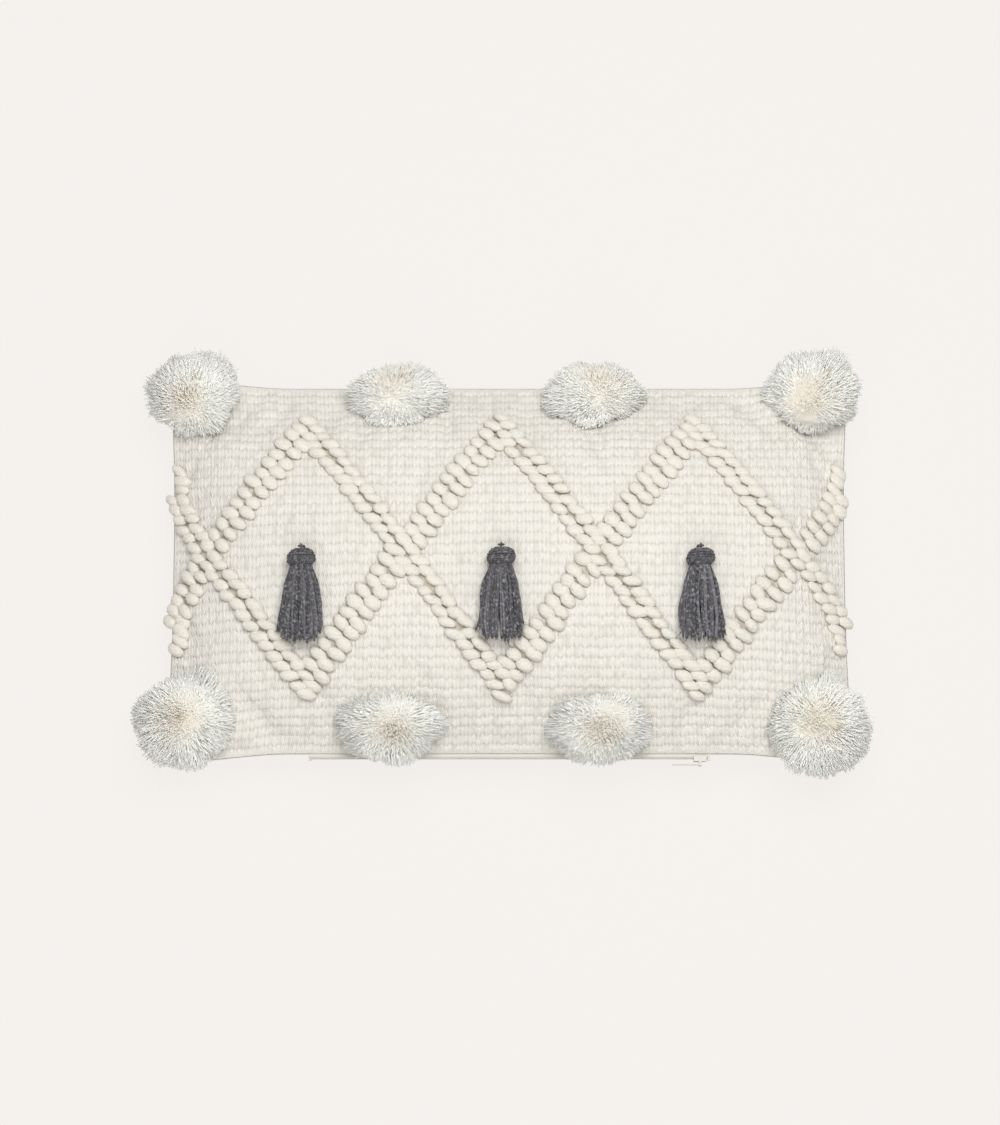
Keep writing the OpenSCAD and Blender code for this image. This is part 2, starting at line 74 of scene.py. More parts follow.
def buildStudio():
    tilt = math.radians(studio["elevation"])
    back = Vector((0, -math.cos(tilt), math.sin(tilt)))
    place = Vector(studio["aim"]) + back * studio["distance"]
    bpy.ops.object.camera_add(location=place, rotation=(-back).to_track_quat("-Z", "Y").to_euler())
    camera = bpy.context.object
    camera.data.sensor_width = 36
    camera.data.lens = 36 * studio["distance"] / studio["pictureHeight"]
    scene.camera = camera

    addLight("keyLight", studio["keyPlace"], studio["keySize"], studio["keyPower"])
    addLight("fillLight", studio["fillPlace"], studio["fillSize"], studio["fillPower"])
    world = bpy.data.worlds.new("studioSky")
    scene.world = world
    world.use_nodes = True
    sky = world.node_tree.nodes["Background"]
    sky.inputs["Color"].default_value = studio["skyColour"]
    sky.inputs["Strength"].default_value = studio["skyStrength"]
    scene.view_settings.view_transform = "Standard"

    bpy.ops.mesh.primitive_plane_add(size=studio["floorSize"])
    floor = bpy.context.object
    floor.name = "studioFloor"
    material = bpy.data.materials.new("paleFloor")
    material.use_nodes = True
    tree = material.node_tree
    tree.nodes.clear()
    glow = addNode(tree, "ShaderNodeEmission", {"Color": studio["floorColour"]})
    matt = addNode(tree, "ShaderNodeBsdfDiffuse", {"Color": studio["floorColour"]})
    mix = addNode(tree, "ShaderNodeMixShader", {"Fac": 1 - studio["floorGlow"], 1: glow.outputs[0],
                                                2: matt.outputs[0]})
    addNode(tree, "ShaderNodeOutputMaterial", {"Surface": mix.outputs[0]})
    floor.data.materials.append(material)


# ---- node helpers ----

def addNode(tree, kind, inputs=None, **settings):
    node = tree.nodes.new(kind)
    for key, value in settings.items():
        setattr(node, key, value)
    for key, value in (inputs or {}).items():
        if isinstance(value, bpy.types.NodeSocket):
            tree.links.new(value, node.inputs[key])
        else:
            node.inputs[key].default_value = value
    return node


def maths(tree, what, a, b=0.0):
    return addNode(tree, "ShaderNodeMath", {0: a, 1: b}, operation=what).outputs[0]


def mixColour(tree, share, low, high):
    node = addNode(tree, "ShaderNodeMix", {"Factor": share}, data_type="RGBA")
    for key, value in ((6, low), (7, high)):
        if isinstance(value, bpy.types.NodeSocket):
            tree.links.new(value, node.inputs[key])
        else:
            node.inputs[key].default_value = (*value[:3], 1)
    return node.outputs[2]


# A colour with part of another laid over it where the mask is high
def tint(tree, colour, mask, amount, over):
    return mixColour(tree, maths(tree, "MULTIPLY", mask, amount), colour, over)


def weighedSum(tree, first, firstPart, second, secondPart):
    return maths(tree, "ADD", maths(tree, "MULTIPLY", first, firstPart),
                 maths(tree, "MULTIPLY", second, secondPart))


def attribute(tree, name):
    return addNode(tree, "ShaderNodeAttribute", attribute_name=name).outputs["Fac"]


def pieceMap(tree, name):
    return addNode(tree, "ShaderNodeUVMap", uv_map=name).outputs[0]


def objectPlace(tree):
    return addNode(tree, "ShaderNodeTexCoord").outputs["Object"]


def noiseAt(tree, place, scale, detail=2.0, roughness=0.5):
    return addNode(tree, "ShaderNodeTexNoise", {"Vector": place, "Scale": scale, "Detail": detail,
                                                "Roughness": roughness}).outputs["Fac"]


def spreadOut(tree, value, low, high):
    return addNode(tree, "ShaderNodeMapRange", {"Value": value, "From Min": low,
                                                "From Max": high}).outputs["Result"]


# A sine along one direction of the piece's own map, as yarn twist or threads show
def threads(tree, mapPlace, direction):
    along = addNode(tree, "ShaderNodeVectorMath", {0: mapPlace, 1: (*direction, 0)}, operation="DOT_PRODUCT")
    return maths(tree, "SINE", maths(tree, "MULTIPLY", along.outputs["Value"], 2 * math.pi))


def newMaterial(name, build, roughness=0.9, sheen=0.25, specular=0.25):
    material = bpy.data.materials.new(name)
    material.use_nodes = True
    tree = material.node_tree
    shader = tree.nodes["Principled BSDF"]
    shader.inputs["Roughness"].default_value = roughness
    shader.inputs["Specular IOR Level"].default_value = specular
    shader.inputs["Sheen Weight"].default_value = sheen
    shader.inputs["Sheen Roughness"].default_value = 0.6
    colour, height, depth = build(tree)
    tree.links.new(colour, shader.inputs["Base Color"])
    bump = addNode(tree, "ShaderNodeBump", {"Height": height, "Distance": depth, "Strength": 1.0})
    tree.links.new(bump.outputs["Normal"], shader.inputs["Normal"])
    return material


# ---- finishes ----

finishes = {
    # faceLow is painted shade for the crevices of the weave
    "faceTop": (0.735, 0.710, 0.655), "faceLow": (0.53, 0.505, 0.445), "faceFurrowShade": (0.47, 0.40, 0.30),
    "faceShade": (0.66, 0.64, 0.59), "facePatch": (0.60, 0.59, 0.55),
    # the pile's low colour is painted tan shade, under each loop and in the gaps between its plies
    "pileTop": (0.745, 0.715, 0.64), "pileShade": (0.54, 0.445, 0.32), "pileBlotch": (0.64, 0.60, 0.50),
    "backLight": (0.70, 0.67, 0.60), "backDark": (0.58, 0.55, 0.48),
    "pompomTip": (0.91, 0.91, 0.865), "pompomHeart": (0.80, 0.755, 0.665), "pompomFleck": (0.66, 0.56, 0.42),
    # the core colours are painted shade for the solid heart seen between the strands
    "pompomCool": (0.84, 0.86, 0.81), "pompomCoreShade": (0.62, 0.57, 0.48), "pompomCoreRimShade": (0.76, 0.755, 0.705),
    "tieLight": (0.62, 0.53, 0.42), "tieDark": (0.48, 0.40, 0.30),
    # the tassel's fleck colour is a painted highlight
    "tasselDark": (0.026, 0.025, 0.029), "tasselMid": (0.145, 0.14, 0.152), "tasselHighlight": (0.33, 0.32, 0.35),
    "threadLight": (0.72, 0.695, 0.635), "threadDark": (0.62, 0.58, 0.50),
    "tapeLight": (0.64, 0.62, 0.57), "tapeDark": (0.58, 0.56, 0.50),
    "lacquer": (0.60, 0.58, 0.53), "lacquerWorn": (0.52, 0.50, 0.45),
    "casingLight": (0.85, 0.85, 0.83), "casingDark": (0.72, 0.72, 0.70),
    "waddingLight": (0.90, 0.90, 0.89), "waddingDark": (0.80, 0.80, 0.79),
}


# Each finish gives a colour, a height for the bump and how deep the bump is in metres
def wovenFinish(tree):
    place = objectPlace(tree)
    # Painted shade: where 'relief' is low, in the crevices of the weave, the colour turns to the darker low
    # colour
    colour = mixColour(tree, spreadOut(tree, attribute(tree, "relief"), 0.05, 0.80),
                       finishes["faceLow"], finishes["faceTop"])
    colour = tint(tree, colour, attribute(tree, "tone"), 0.30, finishes["faceShade"])
    patches = spreadOut(tree, noiseAt(tree, place, 26, 3), 0.35, 0.75)
    colour = tint(tree, colour, patches, 0.10, finishes["facePatch"])
    # Painted shade: tan along the furrow under each loop ridge
    colour = tint(tree, colour, attribute(tree, "furrowShade"), 0.75, finishes["faceFurrowShade"])
    ply = threads(tree, pieceMap(tree, "weave"), (2.0, 1.3))
    return colour, weighedSum(tree, ply, 0.20, noiseAt(tree, place, 1100, 3), 0.9), 0.0007


def pileFinish(tree):
    place = objectPlace(tree)
    # Painted shade: the underside of each loop, where it meets the cloth, is tinted tan
    colour = mixColour(tree, spreadOut(tree, attribute(tree, "low"), 0.32, 0.90),
                       finishes["pileTop"], finishes["pileShade"])
    blotch = spreadOut(tree, noiseAt(tree, place, 60, 2), 0.45, 0.75)
    colour = tint(tree, colour, blotch, 0.16, finishes["pileBlotch"])
    ply = threads(tree, pieceMap(tree, "yarn"), (3.0, 2.0))
    fuzz = noiseAt(tree, place, 620, 4, 0.65)
    # Painted shade: the gaps between plies and fuzz are darkened with the same tan
    plyGapShade = spreadOut(tree, maths(tree, "ADD", maths(tree, "MULTIPLY", ply, 0.05), fuzz), 0.46, 0.26)
    colour = tint(tree, colour, plyGapShade, 0.45, finishes["pileShade"])
    return colour, maths(tree, "ADD", maths(tree, "MULTIPLY", ply, 0.08), fuzz), 0.0013


# Plain weave: threads over and under each other on the piece's map; pitch is in millimetres, as the map is
def plainWeave(pitch, light, dark, depth):
    def build(tree):
        place = objectPlace(tree)
        cloth = pieceMap(tree, "cloth")
        step = 0.5 / pitch
        overUnder = maths(tree, "MULTIPLY", threads(tree, cloth, (step, 0)), threads(tree, cloth, (0, step)))
        slub = addNode(tree, "ShaderNodeMapping", {"Vector": place, "Scale": (14, 420, 14)}).outputs[0]
        slubs = spreadOut(tree, noiseAt(tree, slub, 1.0, 3), 0.35, 0.7)
        colour = mixColour(tree, spreadOut(tree, overUnder, -1.0, 1.0), finishes[dark], finishes[light])
        colour = tint(tree, colour, slubs, 0.30, finishes[dark])
        return colour, weighedSum(tree, overUnder, 0.5, noiseAt(tree, place, 1800, 2), 0.4), depth
    return build


def pompomFinish(tree):
    place, tip = objectPlace(tree), attribute(tree, "tip")
    # Part real colour, part painted light: 'tip' makes the yarn warm near the tie and paler at the ends and
    # rim, the rim also painted paler to even out its shade
    colour = mixColour(tree, tip, finishes["pompomHeart"], finishes["pompomTip"])
    flecks = spreadOut(tree, attribute(tree, "tone"), 0.70, 1.0)
    colour = tint(tree, colour, flecks, 0.45, finishes["pompomFleck"])
    cool = spreadOut(tree, noiseAt(tree, place, 70, 2), 0.45, 0.75)
    colour = tint(tree, colour, cool, 0.20, finishes["pompomCool"])
    # Painted shade: the solid heart behind the strands is coloured darker, standing in for the shade deep in
    # the pile
    core = mixColour(tree, tip, finishes["pompomCoreShade"], finishes["pompomCoreRimShade"])
    colour = mixColour(tree, attribute(tree, "core"), colour, core)
    return colour, noiseAt(tree, place, 900, 3), 0.0004


def tasselFinish(tree):
    place = objectPlace(tree)
    ply = threads(tree, pieceMap(tree, "yarn"), (2.0, 0.24))
    colour = mixColour(tree, attribute(tree, "tone"), finishes["tasselDark"], finishes["tasselMid"])
    # Painted highlights: the crests of the ply twist, and flecks of noise, are painted lighter as the sheen
    # on the dark yarn
    colour = tint(tree, colour, spreadOut(tree, ply, -0.2, 1.0), 0.35, finishes["tasselMid"])
    highlightFleck = spreadOut(tree, noiseAt(tree, place, 380, 2, 0.6), 0.50, 0.72)
    colour = tint(tree, colour, highlightFleck, 0.80, finishes["tasselHighlight"])
    return colour, weighedSum(tree, ply, 0.4, noiseAt(tree, place, 1500, 2), 0.5), 0.0005


def plainYarn(light, dark):
    def build(tree):
        place = objectPlace(tree)
        patches = spreadOut(tree, noiseAt(tree, place, 700, 3), 0.35, 0.7)
        colour = mixColour(tree, patches, finishes[light], finishes[dark])
        return colour, noiseAt(tree, place, 1900, 2), 0.0003
    return build


def lacquerFinish(tree):
    place = objectPlace(tree)
    worn = spreadOut(tree, noiseAt(tree, place, 260, 4, 0.7), 0.62, 0.75)
    colour = mixColour(tree, worn, finishes["lacquer"], finishes["lacquerWorn"])
    return colour, noiseAt(tree, place, 900, 2), 0.00003


def teethFinish(tree):
    place = objectPlace(tree)
    colour = mixColour(tree, noiseAt(tree, place, 300, 2), finishes["tapeLight"], finishes["tapeDark"])
    return colour, noiseAt(tree, place, 2400, 2), 0.00005


def waddingFinish(tree):
    wisps = noiseAt(tree, objectPlace(tree), 240, 6, 0.7)
    return mixColour(tree, wisps, finishes["waddingDark"], finishes["waddingLight"]), wisps, 0.003


materials = {
    "wovenFace": newMaterial("wovenFace", wovenFinish),
    "backCloth": newMaterial("backCloth", plainWeave(1.5, "backLight", "backDark", 0.0004)),
    "pileYarn": newMaterial("pileYarn", pileFinish),
    "pompomYarn": newMaterial("pompomYarn", pompomFinish, sheen=0.5),
    "pompomTie": newMaterial("pompomTie", plainYarn("tieLight", "tieDark")),
    "tasselYarn": newMaterial("tasselYarn", tasselFinish, sheen=0.15),
    "sewingThread": newMaterial("sewingThread", plainYarn("threadLight", "threadDark")),
    "zipTape": newMaterial("zipTape", plainWeave(0.9, "tapeLight", "tapeDark", 0.0002)),
    "zipTeeth": newMaterial("zipTeeth", teethFinish, roughness=0.45, sheen=0.0, specular=0.5),
    "zipMetal": newMaterial("zipMetal", lacquerFinish, roughness=0.6, sheen=0.0, specular=0.3),
    "casingCloth": newMaterial("casingCloth", plainWeave(0.8, "casingLight", "casingDark", 0.0002)),
    "fibreFill": newMaterial("fibreFill", waddingFinish),
}
print("finishes made")


# ---- mesh helpers ----

def smoothstep(t):
    t = np.clip(t, 0, 1)
    return t * t * (3 - 2 * t)


def cornersOf(groups):
    return np.concatenate([g.ravel() for g in groups])


# A mesh object from points and groups of faces with the same number of corners.
# perPoint gives attributes; maps gives, for each map name, one (u, v) for each corner.
def newPiece(name, points, groups, material, perPoint=None, maps=None):
    mesh = bpy.data.meshes.new(name)
    corners = cornersOf(groups).astype(np.int32)
    sizes = np.concatenate([np.full(len(g), g.shape[1]) for g in groups])
    mesh.vertices.add(len(points))
    mesh.vertices.foreach_set("co", np.ascontiguousarray(points, np.float32).ravel())
    mesh.loops.add(len(corners))
    mesh.loops.foreach_set("vertex_index", corners)
    mesh.polygons.add(len(sizes))
    starts = np.concatenate([[0], np.cumsum(sizes)[:-1]]).astype(np.int32)
    mesh.polygons.foreach_set("loop_start", starts)
    mesh.polygons.foreach_set("use_smooth", np.ones(len(sizes), bool))
    for key, values in (perPoint or {}).items():
        mesh.attributes.new(key, "FLOAT", "POINT").data.foreach_set(
            "value", np.ascontiguousarray(values, np.float32).ravel())
    for key, values in (maps or {}).items():
        mesh.uv_layers.new(name=key).data.foreach_set("uv", np.ascontiguousarray(values, np.float32).ravel())
    mesh.update(calc_edges=True)
    mesh.validate()
    mesh.materials.append(materials[material])
    piece = bpy.data.objects.new(name, mesh)
    scene.collection.objects.link(piece)
    return piece


def gridQuads(across, up, start=0, flip=False):
    first = start + (np.arange(up)[:, None] * (across + 1) + np.arange(across)[None, :]).ravel()
    quads = np.stack([first, first + 1, first + across + 2, first + across + 1], axis=1)
    return quads[:, ::-1] if flip else quads


def gridRim(across, up, start=0):
    row = across + 1
    return start + np.concatenate([
        np.arange(across), np.arange(up) * row + across,
        np.arange(across, 0, -1) + up * row, np.arange(up, 0, -1) * row])


def unitRows(vectors):
    return vectors / np.maximum(np.linalg.norm(vectors, axis=-1, keepdims=True), 1e-12)


# Tubes along many paths at once. paths is (count, rings, 3) and radii (count, rings).
# lobes makes the section oval, and turn is how far the oval has turned at each ring.
def tubes(paths, radii, sides, lobes=0.0, turn=None):
    count, rings, _ = paths.shape
    along = unitRows(np.gradient(paths, axis=1))
    mean = unitRows(paths[:, -1] - paths[:, 0] + 1e-9)
    aside = np.zeros_like(mean)
    aside[np.arange(count), np.abs(mean).argmin(axis=1)] = 1
    across = unitRows(np.cross(np.broadcast_to(aside[:, None], along.shape), along))
    over = np.cross(along, across)
    angle = 2 * np.pi * np.arange(sides) / sides
    turned = np.zeros((count, rings)) if turn is None else turn
    swell = 1 + lobes * np.cos(2 * (angle[None, None, :] - turned[:, :, None]))
    reach = radii[:, :, None] * swell
    ring = (paths[:, :, None, :]
            + (reach * np.cos(angle))[..., None] * across[:, :, None, :]
            + (reach * np.sin(angle))[..., None] * over[:, :, None, :])
    side = np.arange(sides)
    nextSide = (side + 1) % sides
    base = (np.arange(count)[:, None] * rings + np.arange(rings - 1)[None, :]).ravel() * sides
    quads = np.stack([base[:, None] + side, base[:, None] + nextSide,
                      base[:, None] + nextSide + sides, base[:, None] + side + sides], axis=-1).reshape(-1, 4)
    first = np.arange(count)[:, None] * rings * sides
    caps = np.concatenate([first + side[::-1], first + (rings - 1) * sides + side])
    steps = np.linalg.norm(np.diff(paths, axis=1), axis=2)
    length = np.concatenate([np.zeros((count, 1)), np.cumsum(steps, axis=1)], axis=1) * 1000
    u = np.stack([side, side + 1, side + 1, side], axis=-1) / sides
    low, high = length[:, :-1].ravel(), length[:, 1:].ravel()
    v = np.stack([low, low, high, high], axis=-1)
    mapQuads = np.stack([np.broadcast_to(u[None], (len(low), sides, 4)),
                         np.broadcast_to(v[:, None], (len(low), sides, 4))], axis=-1).reshape(-1, 2)
    mapCaps = np.zeros((caps.size, 2))
    return ring.reshape(-1, 3), [quads, caps], np.concatenate([mapQuads, mapCaps])


# Several sets of tubes as one; extras is a list of per-point attribute dictionaries, one for each set
def joinSets(sets, extras):
    points, groups, mapped, start = [], [], [], 0
    for ring, faces, places in sets:
        points.append(ring)
        groups += [group + start for group in faces]
        mapped.append(places)
        start += len(ring)
    joined = {key: np.concatenate([extra[key] for extra in extras]) for key in extras[0]}
    return np.concatenate(points), groups, np.concatenate(mapped), joined


# A smooth line through a few points
def smoothLine(points, count):
    points = np.asarray(points, float)
    padded = np.concatenate([[2 * points[0] - points[1]], points, [2 * points[-1] - points[-2]]])
    t = np.linspace(0, len(points) - 1, count)
    k = np.minimum(t.astype(int), len(points) - 2)
    f = (t - k)[:, None]
    a, b, c, d = padded[k], padded[k + 1], padded[k + 2], padded[k + 3]
    return 0.5 * (2 * b + (c - a) * f + (2 * a - 5 * b + 4 * c - d) * f ** 2
                  + (3 * b - a - 3 * c + d) * f ** 3)


# From the frame of a place on the face to the frame of the whole object
def toWorld(points, place):
    here, side, upward, out = place
    return here + points[..., :1] * side + points[..., 1:2] * upward + points[..., 2:] * out


# ---- filled shape ----

cover = {
    "crown": 0.060, "seamZ": 0.052, "edgeGap": 0.0009,
    "cornerX": 0.007, "cornerY": 0.008, "straightU": 187 / 295,
    "cloth": 0.003, "backCloth": 0.0012, "seamEdge": 0.004, "floorBlend": 0.004,
    "startCells": (120, 70), "voxel": 0.0065, "heldReach": 0.009, "pressure": 4.0, "frames": 20,
    "mapAcross": 150, "mapUp": 90, "mapReach": 0.03,        # where the swelling is measured, and from how far
    "swellMost": 0.008, "swellMiddle": 0.0012, "swellSink": -0.004,
    "seamFade": 0.016,
}
faceLow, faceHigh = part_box("front_panel")
halfLength = (faceHigh.x - faceLow.x) / 2 - cover["cornerX"]
halfHeight = (faceHigh.y - faceLow.y) / 2 - cover["cornerY"]
faceEdgeZ = cover["seamZ"] + cover["edgeGap"]
backEdgeZ = cover["seamZ"] - cover["edgeGap"]


def seamX(v):
    return halfLength + cover["cornerX"] * np.abs(v) ** 3


def seamY(u):
    beyond = (np.abs(u) - cover["straightU"]) / (1 - cover["straightU"])
    return halfHeight + cover["cornerY"] * smoothstep(beyond)


def fullness(u, v):
    return (1 - u ** 4) * (1 - v * v)


def softFloor(z):
    blend = cover["floorBlend"]
    return np.where(z <= -blend, 0, np.where(z >= blend, z, (z + blend) ** 2 / (4 * blend)))


def facePlain(u, v, inset=0.0, edgeZ=faceEdgeZ):
    z = edgeZ + cover["crown"] * fullness(u, v)
    return np.stack([u * (seamX(v) - inset), v * (seamY(u) - inset), z], axis=-1)


def backPlain(u, v, edgeZ=backEdgeZ):
    z = softFloor(edgeZ - cover["crown"] * fullness(u, v))
    return np.stack([u * seamX(v), v * seamY(u), z], axis=-1)


def outward(shape, u, v, facing):
    step = 1e-3
    byU = shape(np.clip(u + step, -1, 1), v) - shape(np.clip(u - step, -1, 1), v)
    byV = shape(u, np.clip(v + step, -1, 1)) - shape(u, np.clip(v - step, -1, 1))
    return unitRows(np.cross(byU, byV)) * facing


# The closed cushion is filled with air as cloth, held at its seam, to find where it swells and puckers
def swellCushion():
    across, up = cover["startCells"]
    u, v = np.meshgrid(np.linspace(-1, 1, across + 1), np.linspace(-1, 1, up + 1))
    top = facePlain(u, v, edgeZ=cover["seamZ"]).reshape(-1, 3)
    bottom = backPlain(u, v, edgeZ=cover["seamZ"]).reshape(-1, 3)
    count = len(top)
    mesh = bpy.data.meshes.new("cushionStart")
    quads = np.concatenate([gridQuads(across, up), gridQuads(across, up, count, True)])
    mesh.from_pydata(np.concatenate([top, bottom]).tolist(), [], quads.tolist())
    cushion = bpy.data.objects.new("cushionStart", mesh)
    scene.collection.objects.link(cushion)
    bpy.ops.object.select_all(action="DESELECT")
    cushion.select_set(True)
    bpy.context.view_layer.objects.active = cushion
    bpy.ops.object.mode_set(mode="EDIT")
    bpy.ops.mesh.select_all(action="SELECT")
    bpy.ops.mesh.remove_doubles(threshold=0.00005)
    bpy.ops.object.mode_set(mode="OBJECT")
    remesh = cushion.modifiers.new("evenCells", "REMESH")
    remesh.mode = "VOXEL"
    remesh.voxel_size = cover["voxel"]
    bpy.ops.object.modifier_apply(modifier=remesh.name)
    held = cushion.vertex_groups.new(name="seam")
    for vertex in cushion.data.vertices:
        x, y, z = vertex.co
        nearSide = abs(x) > float(seamX(y / halfHeight)) - cover["heldReach"]
        nearLong = abs(y) > float(seamY(x / halfLength)) - cover["heldReach"]
        if (nearSide or nearLong) and abs(z - cover["seamZ"]) < cover["heldReach"]:
            held.add([vertex.index], 1.0, "REPLACE")
    cloth = cushion.modifiers.new("cloth", "CLOTH")
    settings = cloth.settings
    settings.quality = 6
    settings.mass = 0.3
    settings.tension_stiffness = 18
    settings.compression_stiffness = 18
    settings.shear_stiffness = 6
    settings.bending_stiffness = 0.6
    settings.use_pressure = True
    settings.uniform_pressure_force = cover["pressure"]
    settings.shrink_min = -0.03        # a little more cloth than the form needs, so that it puckers
    settings.vertex_group_mass = "seam"
    settings.effector_weights.gravity = 0
    cloth.collision_settings.use_collision = False
    for number in range(1, cover["frames"] + 1):
        scene.frame_set(number)
    bpy.ops.object.modifier_apply(modifier=cloth.name)
    finer = cushion.modifiers.new("finer", "SUBSURF")
    finer.levels = finer.render_levels = 1
    bpy.ops.object.modifier_apply(modifier=finer.name)
    tree = BVHTree.FromObject(cushion, bpy.context.evaluated_depsgraph_get())
    lifts = []
    reach = cover["mapReach"]
    u, v = np.meshgrid(np.linspace(-1, 1, cover["mapAcross"] + 1), np.linspace(-1, 1, cover["mapUp"] + 1))
    inner = np.clip(u, -0.999, 0.999), np.clip(v, -0.999, 0.999)
    for shape, facing in ((facePlain, 1), (backPlain, -1)):
        points, normals = shape(*inner), outward(shape, *inner, facing)
        lift = np.zeros(u.shape)
        for k in np.ndindex(u.shape):
            start = Vector(points[k] + normals[k] * reach)
            hit = tree.ray_cast(start, Vector(-normals[k]), 2 * reach)
            if hit[0] is not None:
                lift[k] = reach - hit[3]
        lifts.append(lift)
    bpy.data.objects.remove(cushion)
    scene.frame_set(1)
    return lifts


def measureSwell():
    shape = (cover["mapUp"] + 1, cover["mapAcross"] + 1)
    lifts = swellCushion()
    u, v = np.meshgrid(np.linspace(-1, 1, shape[1]), np.linspace(-1, 1, shape[0]))
    fade = smoothstep((1 - np.abs(u)) * halfLength / cover["seamFade"]) * smoothstep(
        (1 - np.abs(v)) * halfHeight / cover["seamFade"])
    inside = smoothstep((1 - np.maximum(np.abs(u) ** 1.5, np.abs(v))) / 0.55)
    most = cover["swellMost"] + (cover["swellMiddle"] - cover["swellMost"]) * inside
    results = []
    for lift in lifts:
        print("swelling from", round(float(lift.min()), 4), "to", round(float(lift.max()), 4))
        lift = lift - np.median(lift) * inside
        raised, sunk = np.maximum(lift, 0), np.minimum(lift, 0)
        soft = most * np.tanh(raised / most) + np.maximum(sunk, cover["swellSink"])
        results.append(soft * fade)
    return results


faceSwell, backSwell = measureSwell()
print("cushion filled")


# Swelling between the measured places, on a smooth curve through them
def swellAt(table, u, v):
    def weights(f):
        return [0.5 * (-f + 2 * f ** 2 - f ** 3), 0.5 * (2 - 5 * f ** 2 + 3 * f ** 3),
                0.5 * (f + 4 * f ** 2 - 3 * f ** 3), 0.5 * (f ** 3 - f ** 2)]
    rows, columns = table.shape
    x, y = (u + 1) / 2 * (columns - 1), (v + 1) / 2 * (rows - 1)
    i, j = np.clip(x.astype(int), 0, columns - 2), np.clip(y.astype(int), 0, rows - 2)
    total = 0
    for a, wa in enumerate(weights(y - j)):
        for b, wb in enumerate(weights(x - i)):
            row, column = np.clip(j + a - 1, 0, rows - 1), np.clip(i + b - 1, 0, columns - 1)
            total = total + wa * wb * table[row, column]
    return total


# Small dents where something is sewn through the cloth
dents = []


def faceShape(u, v):
    point = facePlain(u, v)
    lift = swellAt(faceSwell, u, v)
    for x, y, depth, width in dents:
        lift = lift - depth * np.exp(-((point[..., 0] - x) ** 2 + (point[..., 1] - y) ** 2) / width ** 2)
    return point + outward(facePlain, u, v, 1) * lift[..., None]


def backShape(u, v):
    point = backPlain(u, v) + outward(backPlain, u, v, -1) * swellAt(backSwell, u, v)[..., None]
    point[..., 2] = np.maximum(point[..., 2], 0.0)
    return point


# A place on the face with its own directions there: to the side, upward and out of the cloth
def faceFrame(x, y, shape=facePlain):
    def placeOn(x, y):
        u = x / seamX(y / halfHeight)
        v = y / seamY(u)
        return shape(np.clip(u, -1, 1), np.clip(v, -1, 1))
    step = 0.001
    here = placeOn(x, y)
    bySide = placeOn(x + step, y) - placeOn(x - step, y)
    byUp = placeOn(x, y + step) - placeOn(x, y - step)
    out = unitRows(np.cross(bySide, byUp))
    side = unitRows(np.cross([0, 1, 0], out))
    return here, side, np.cross(out, side), out


# ---- woven face and canvas back ----

weave = {
    "cellsAcross": 176, "cellsUp": 39, "perCell": (3, 8),
    "depth": 0.0015, "wander": 0.11, "stagger": 0.24, "seed": 11,
}
pattern = {
    "diamonds": 3, "sideMargin": 0.041, "pointMargin": 0.051, "rows": 14,
    "shiftX": -0.007, "shiftY": 0.007, "spacing": 0.0145,
    "leanAcross": 38, "leanAlong": 22, "heightGain": 0.63,
}


# Where equal steps along the cloth fall between the seams
def evenSteps(profile, count):
    t = np.linspace(-1, 1, 801)
    points = profile(t)
    length = np.concatenate([[0], np.cumsum(np.linalg.norm(np.diff(points, axis=0), axis=1))])
    return np.interp(np.linspace(0, length[-1], count), length, t), length[-1]


clothHalfHeight = halfHeight * (1 + pattern["heightGain"] * (cover["crown"] / halfHeight) ** 2)
halfDiamond = (halfLength - pattern["sideMargin"]) / pattern["diamonds"]
rowPitch = (clothHalfHeight - pattern["pointMargin"]) / pattern["rows"]
rowStep = (halfDiamond + pattern["spacing"] / 2) / pattern["rows"]


def clothToY(s):
    return s * (1 - (1 - halfHeight / clothHalfHeight) * (s / clothHalfHeight) ** 2)


def crossingX(i):
    return pattern["shiftX"] + (i - pattern["diamonds"] / 2) * 2 * halfDiamond


# 1 along the middle of each loop ridge, falling to 0 beside it: where tan shade is painted on the face under
# the loops
def furrowAt(x, y):
    table = np.linspace(0, 0.18, 200)
    row = np.interp(np.abs(y - pattern["shiftY"]), clothToY(table), table) / rowPitch
    fromCrossing = np.abs((x - crossingX(0) + halfDiamond) % (2 * halfDiamond) - halfDiamond)
    beside = np.abs(fromCrossing - row * rowStep)
    return np.exp(-(beside / 0.0042) ** 2) * (row < pattern["rows"] + 0.7)


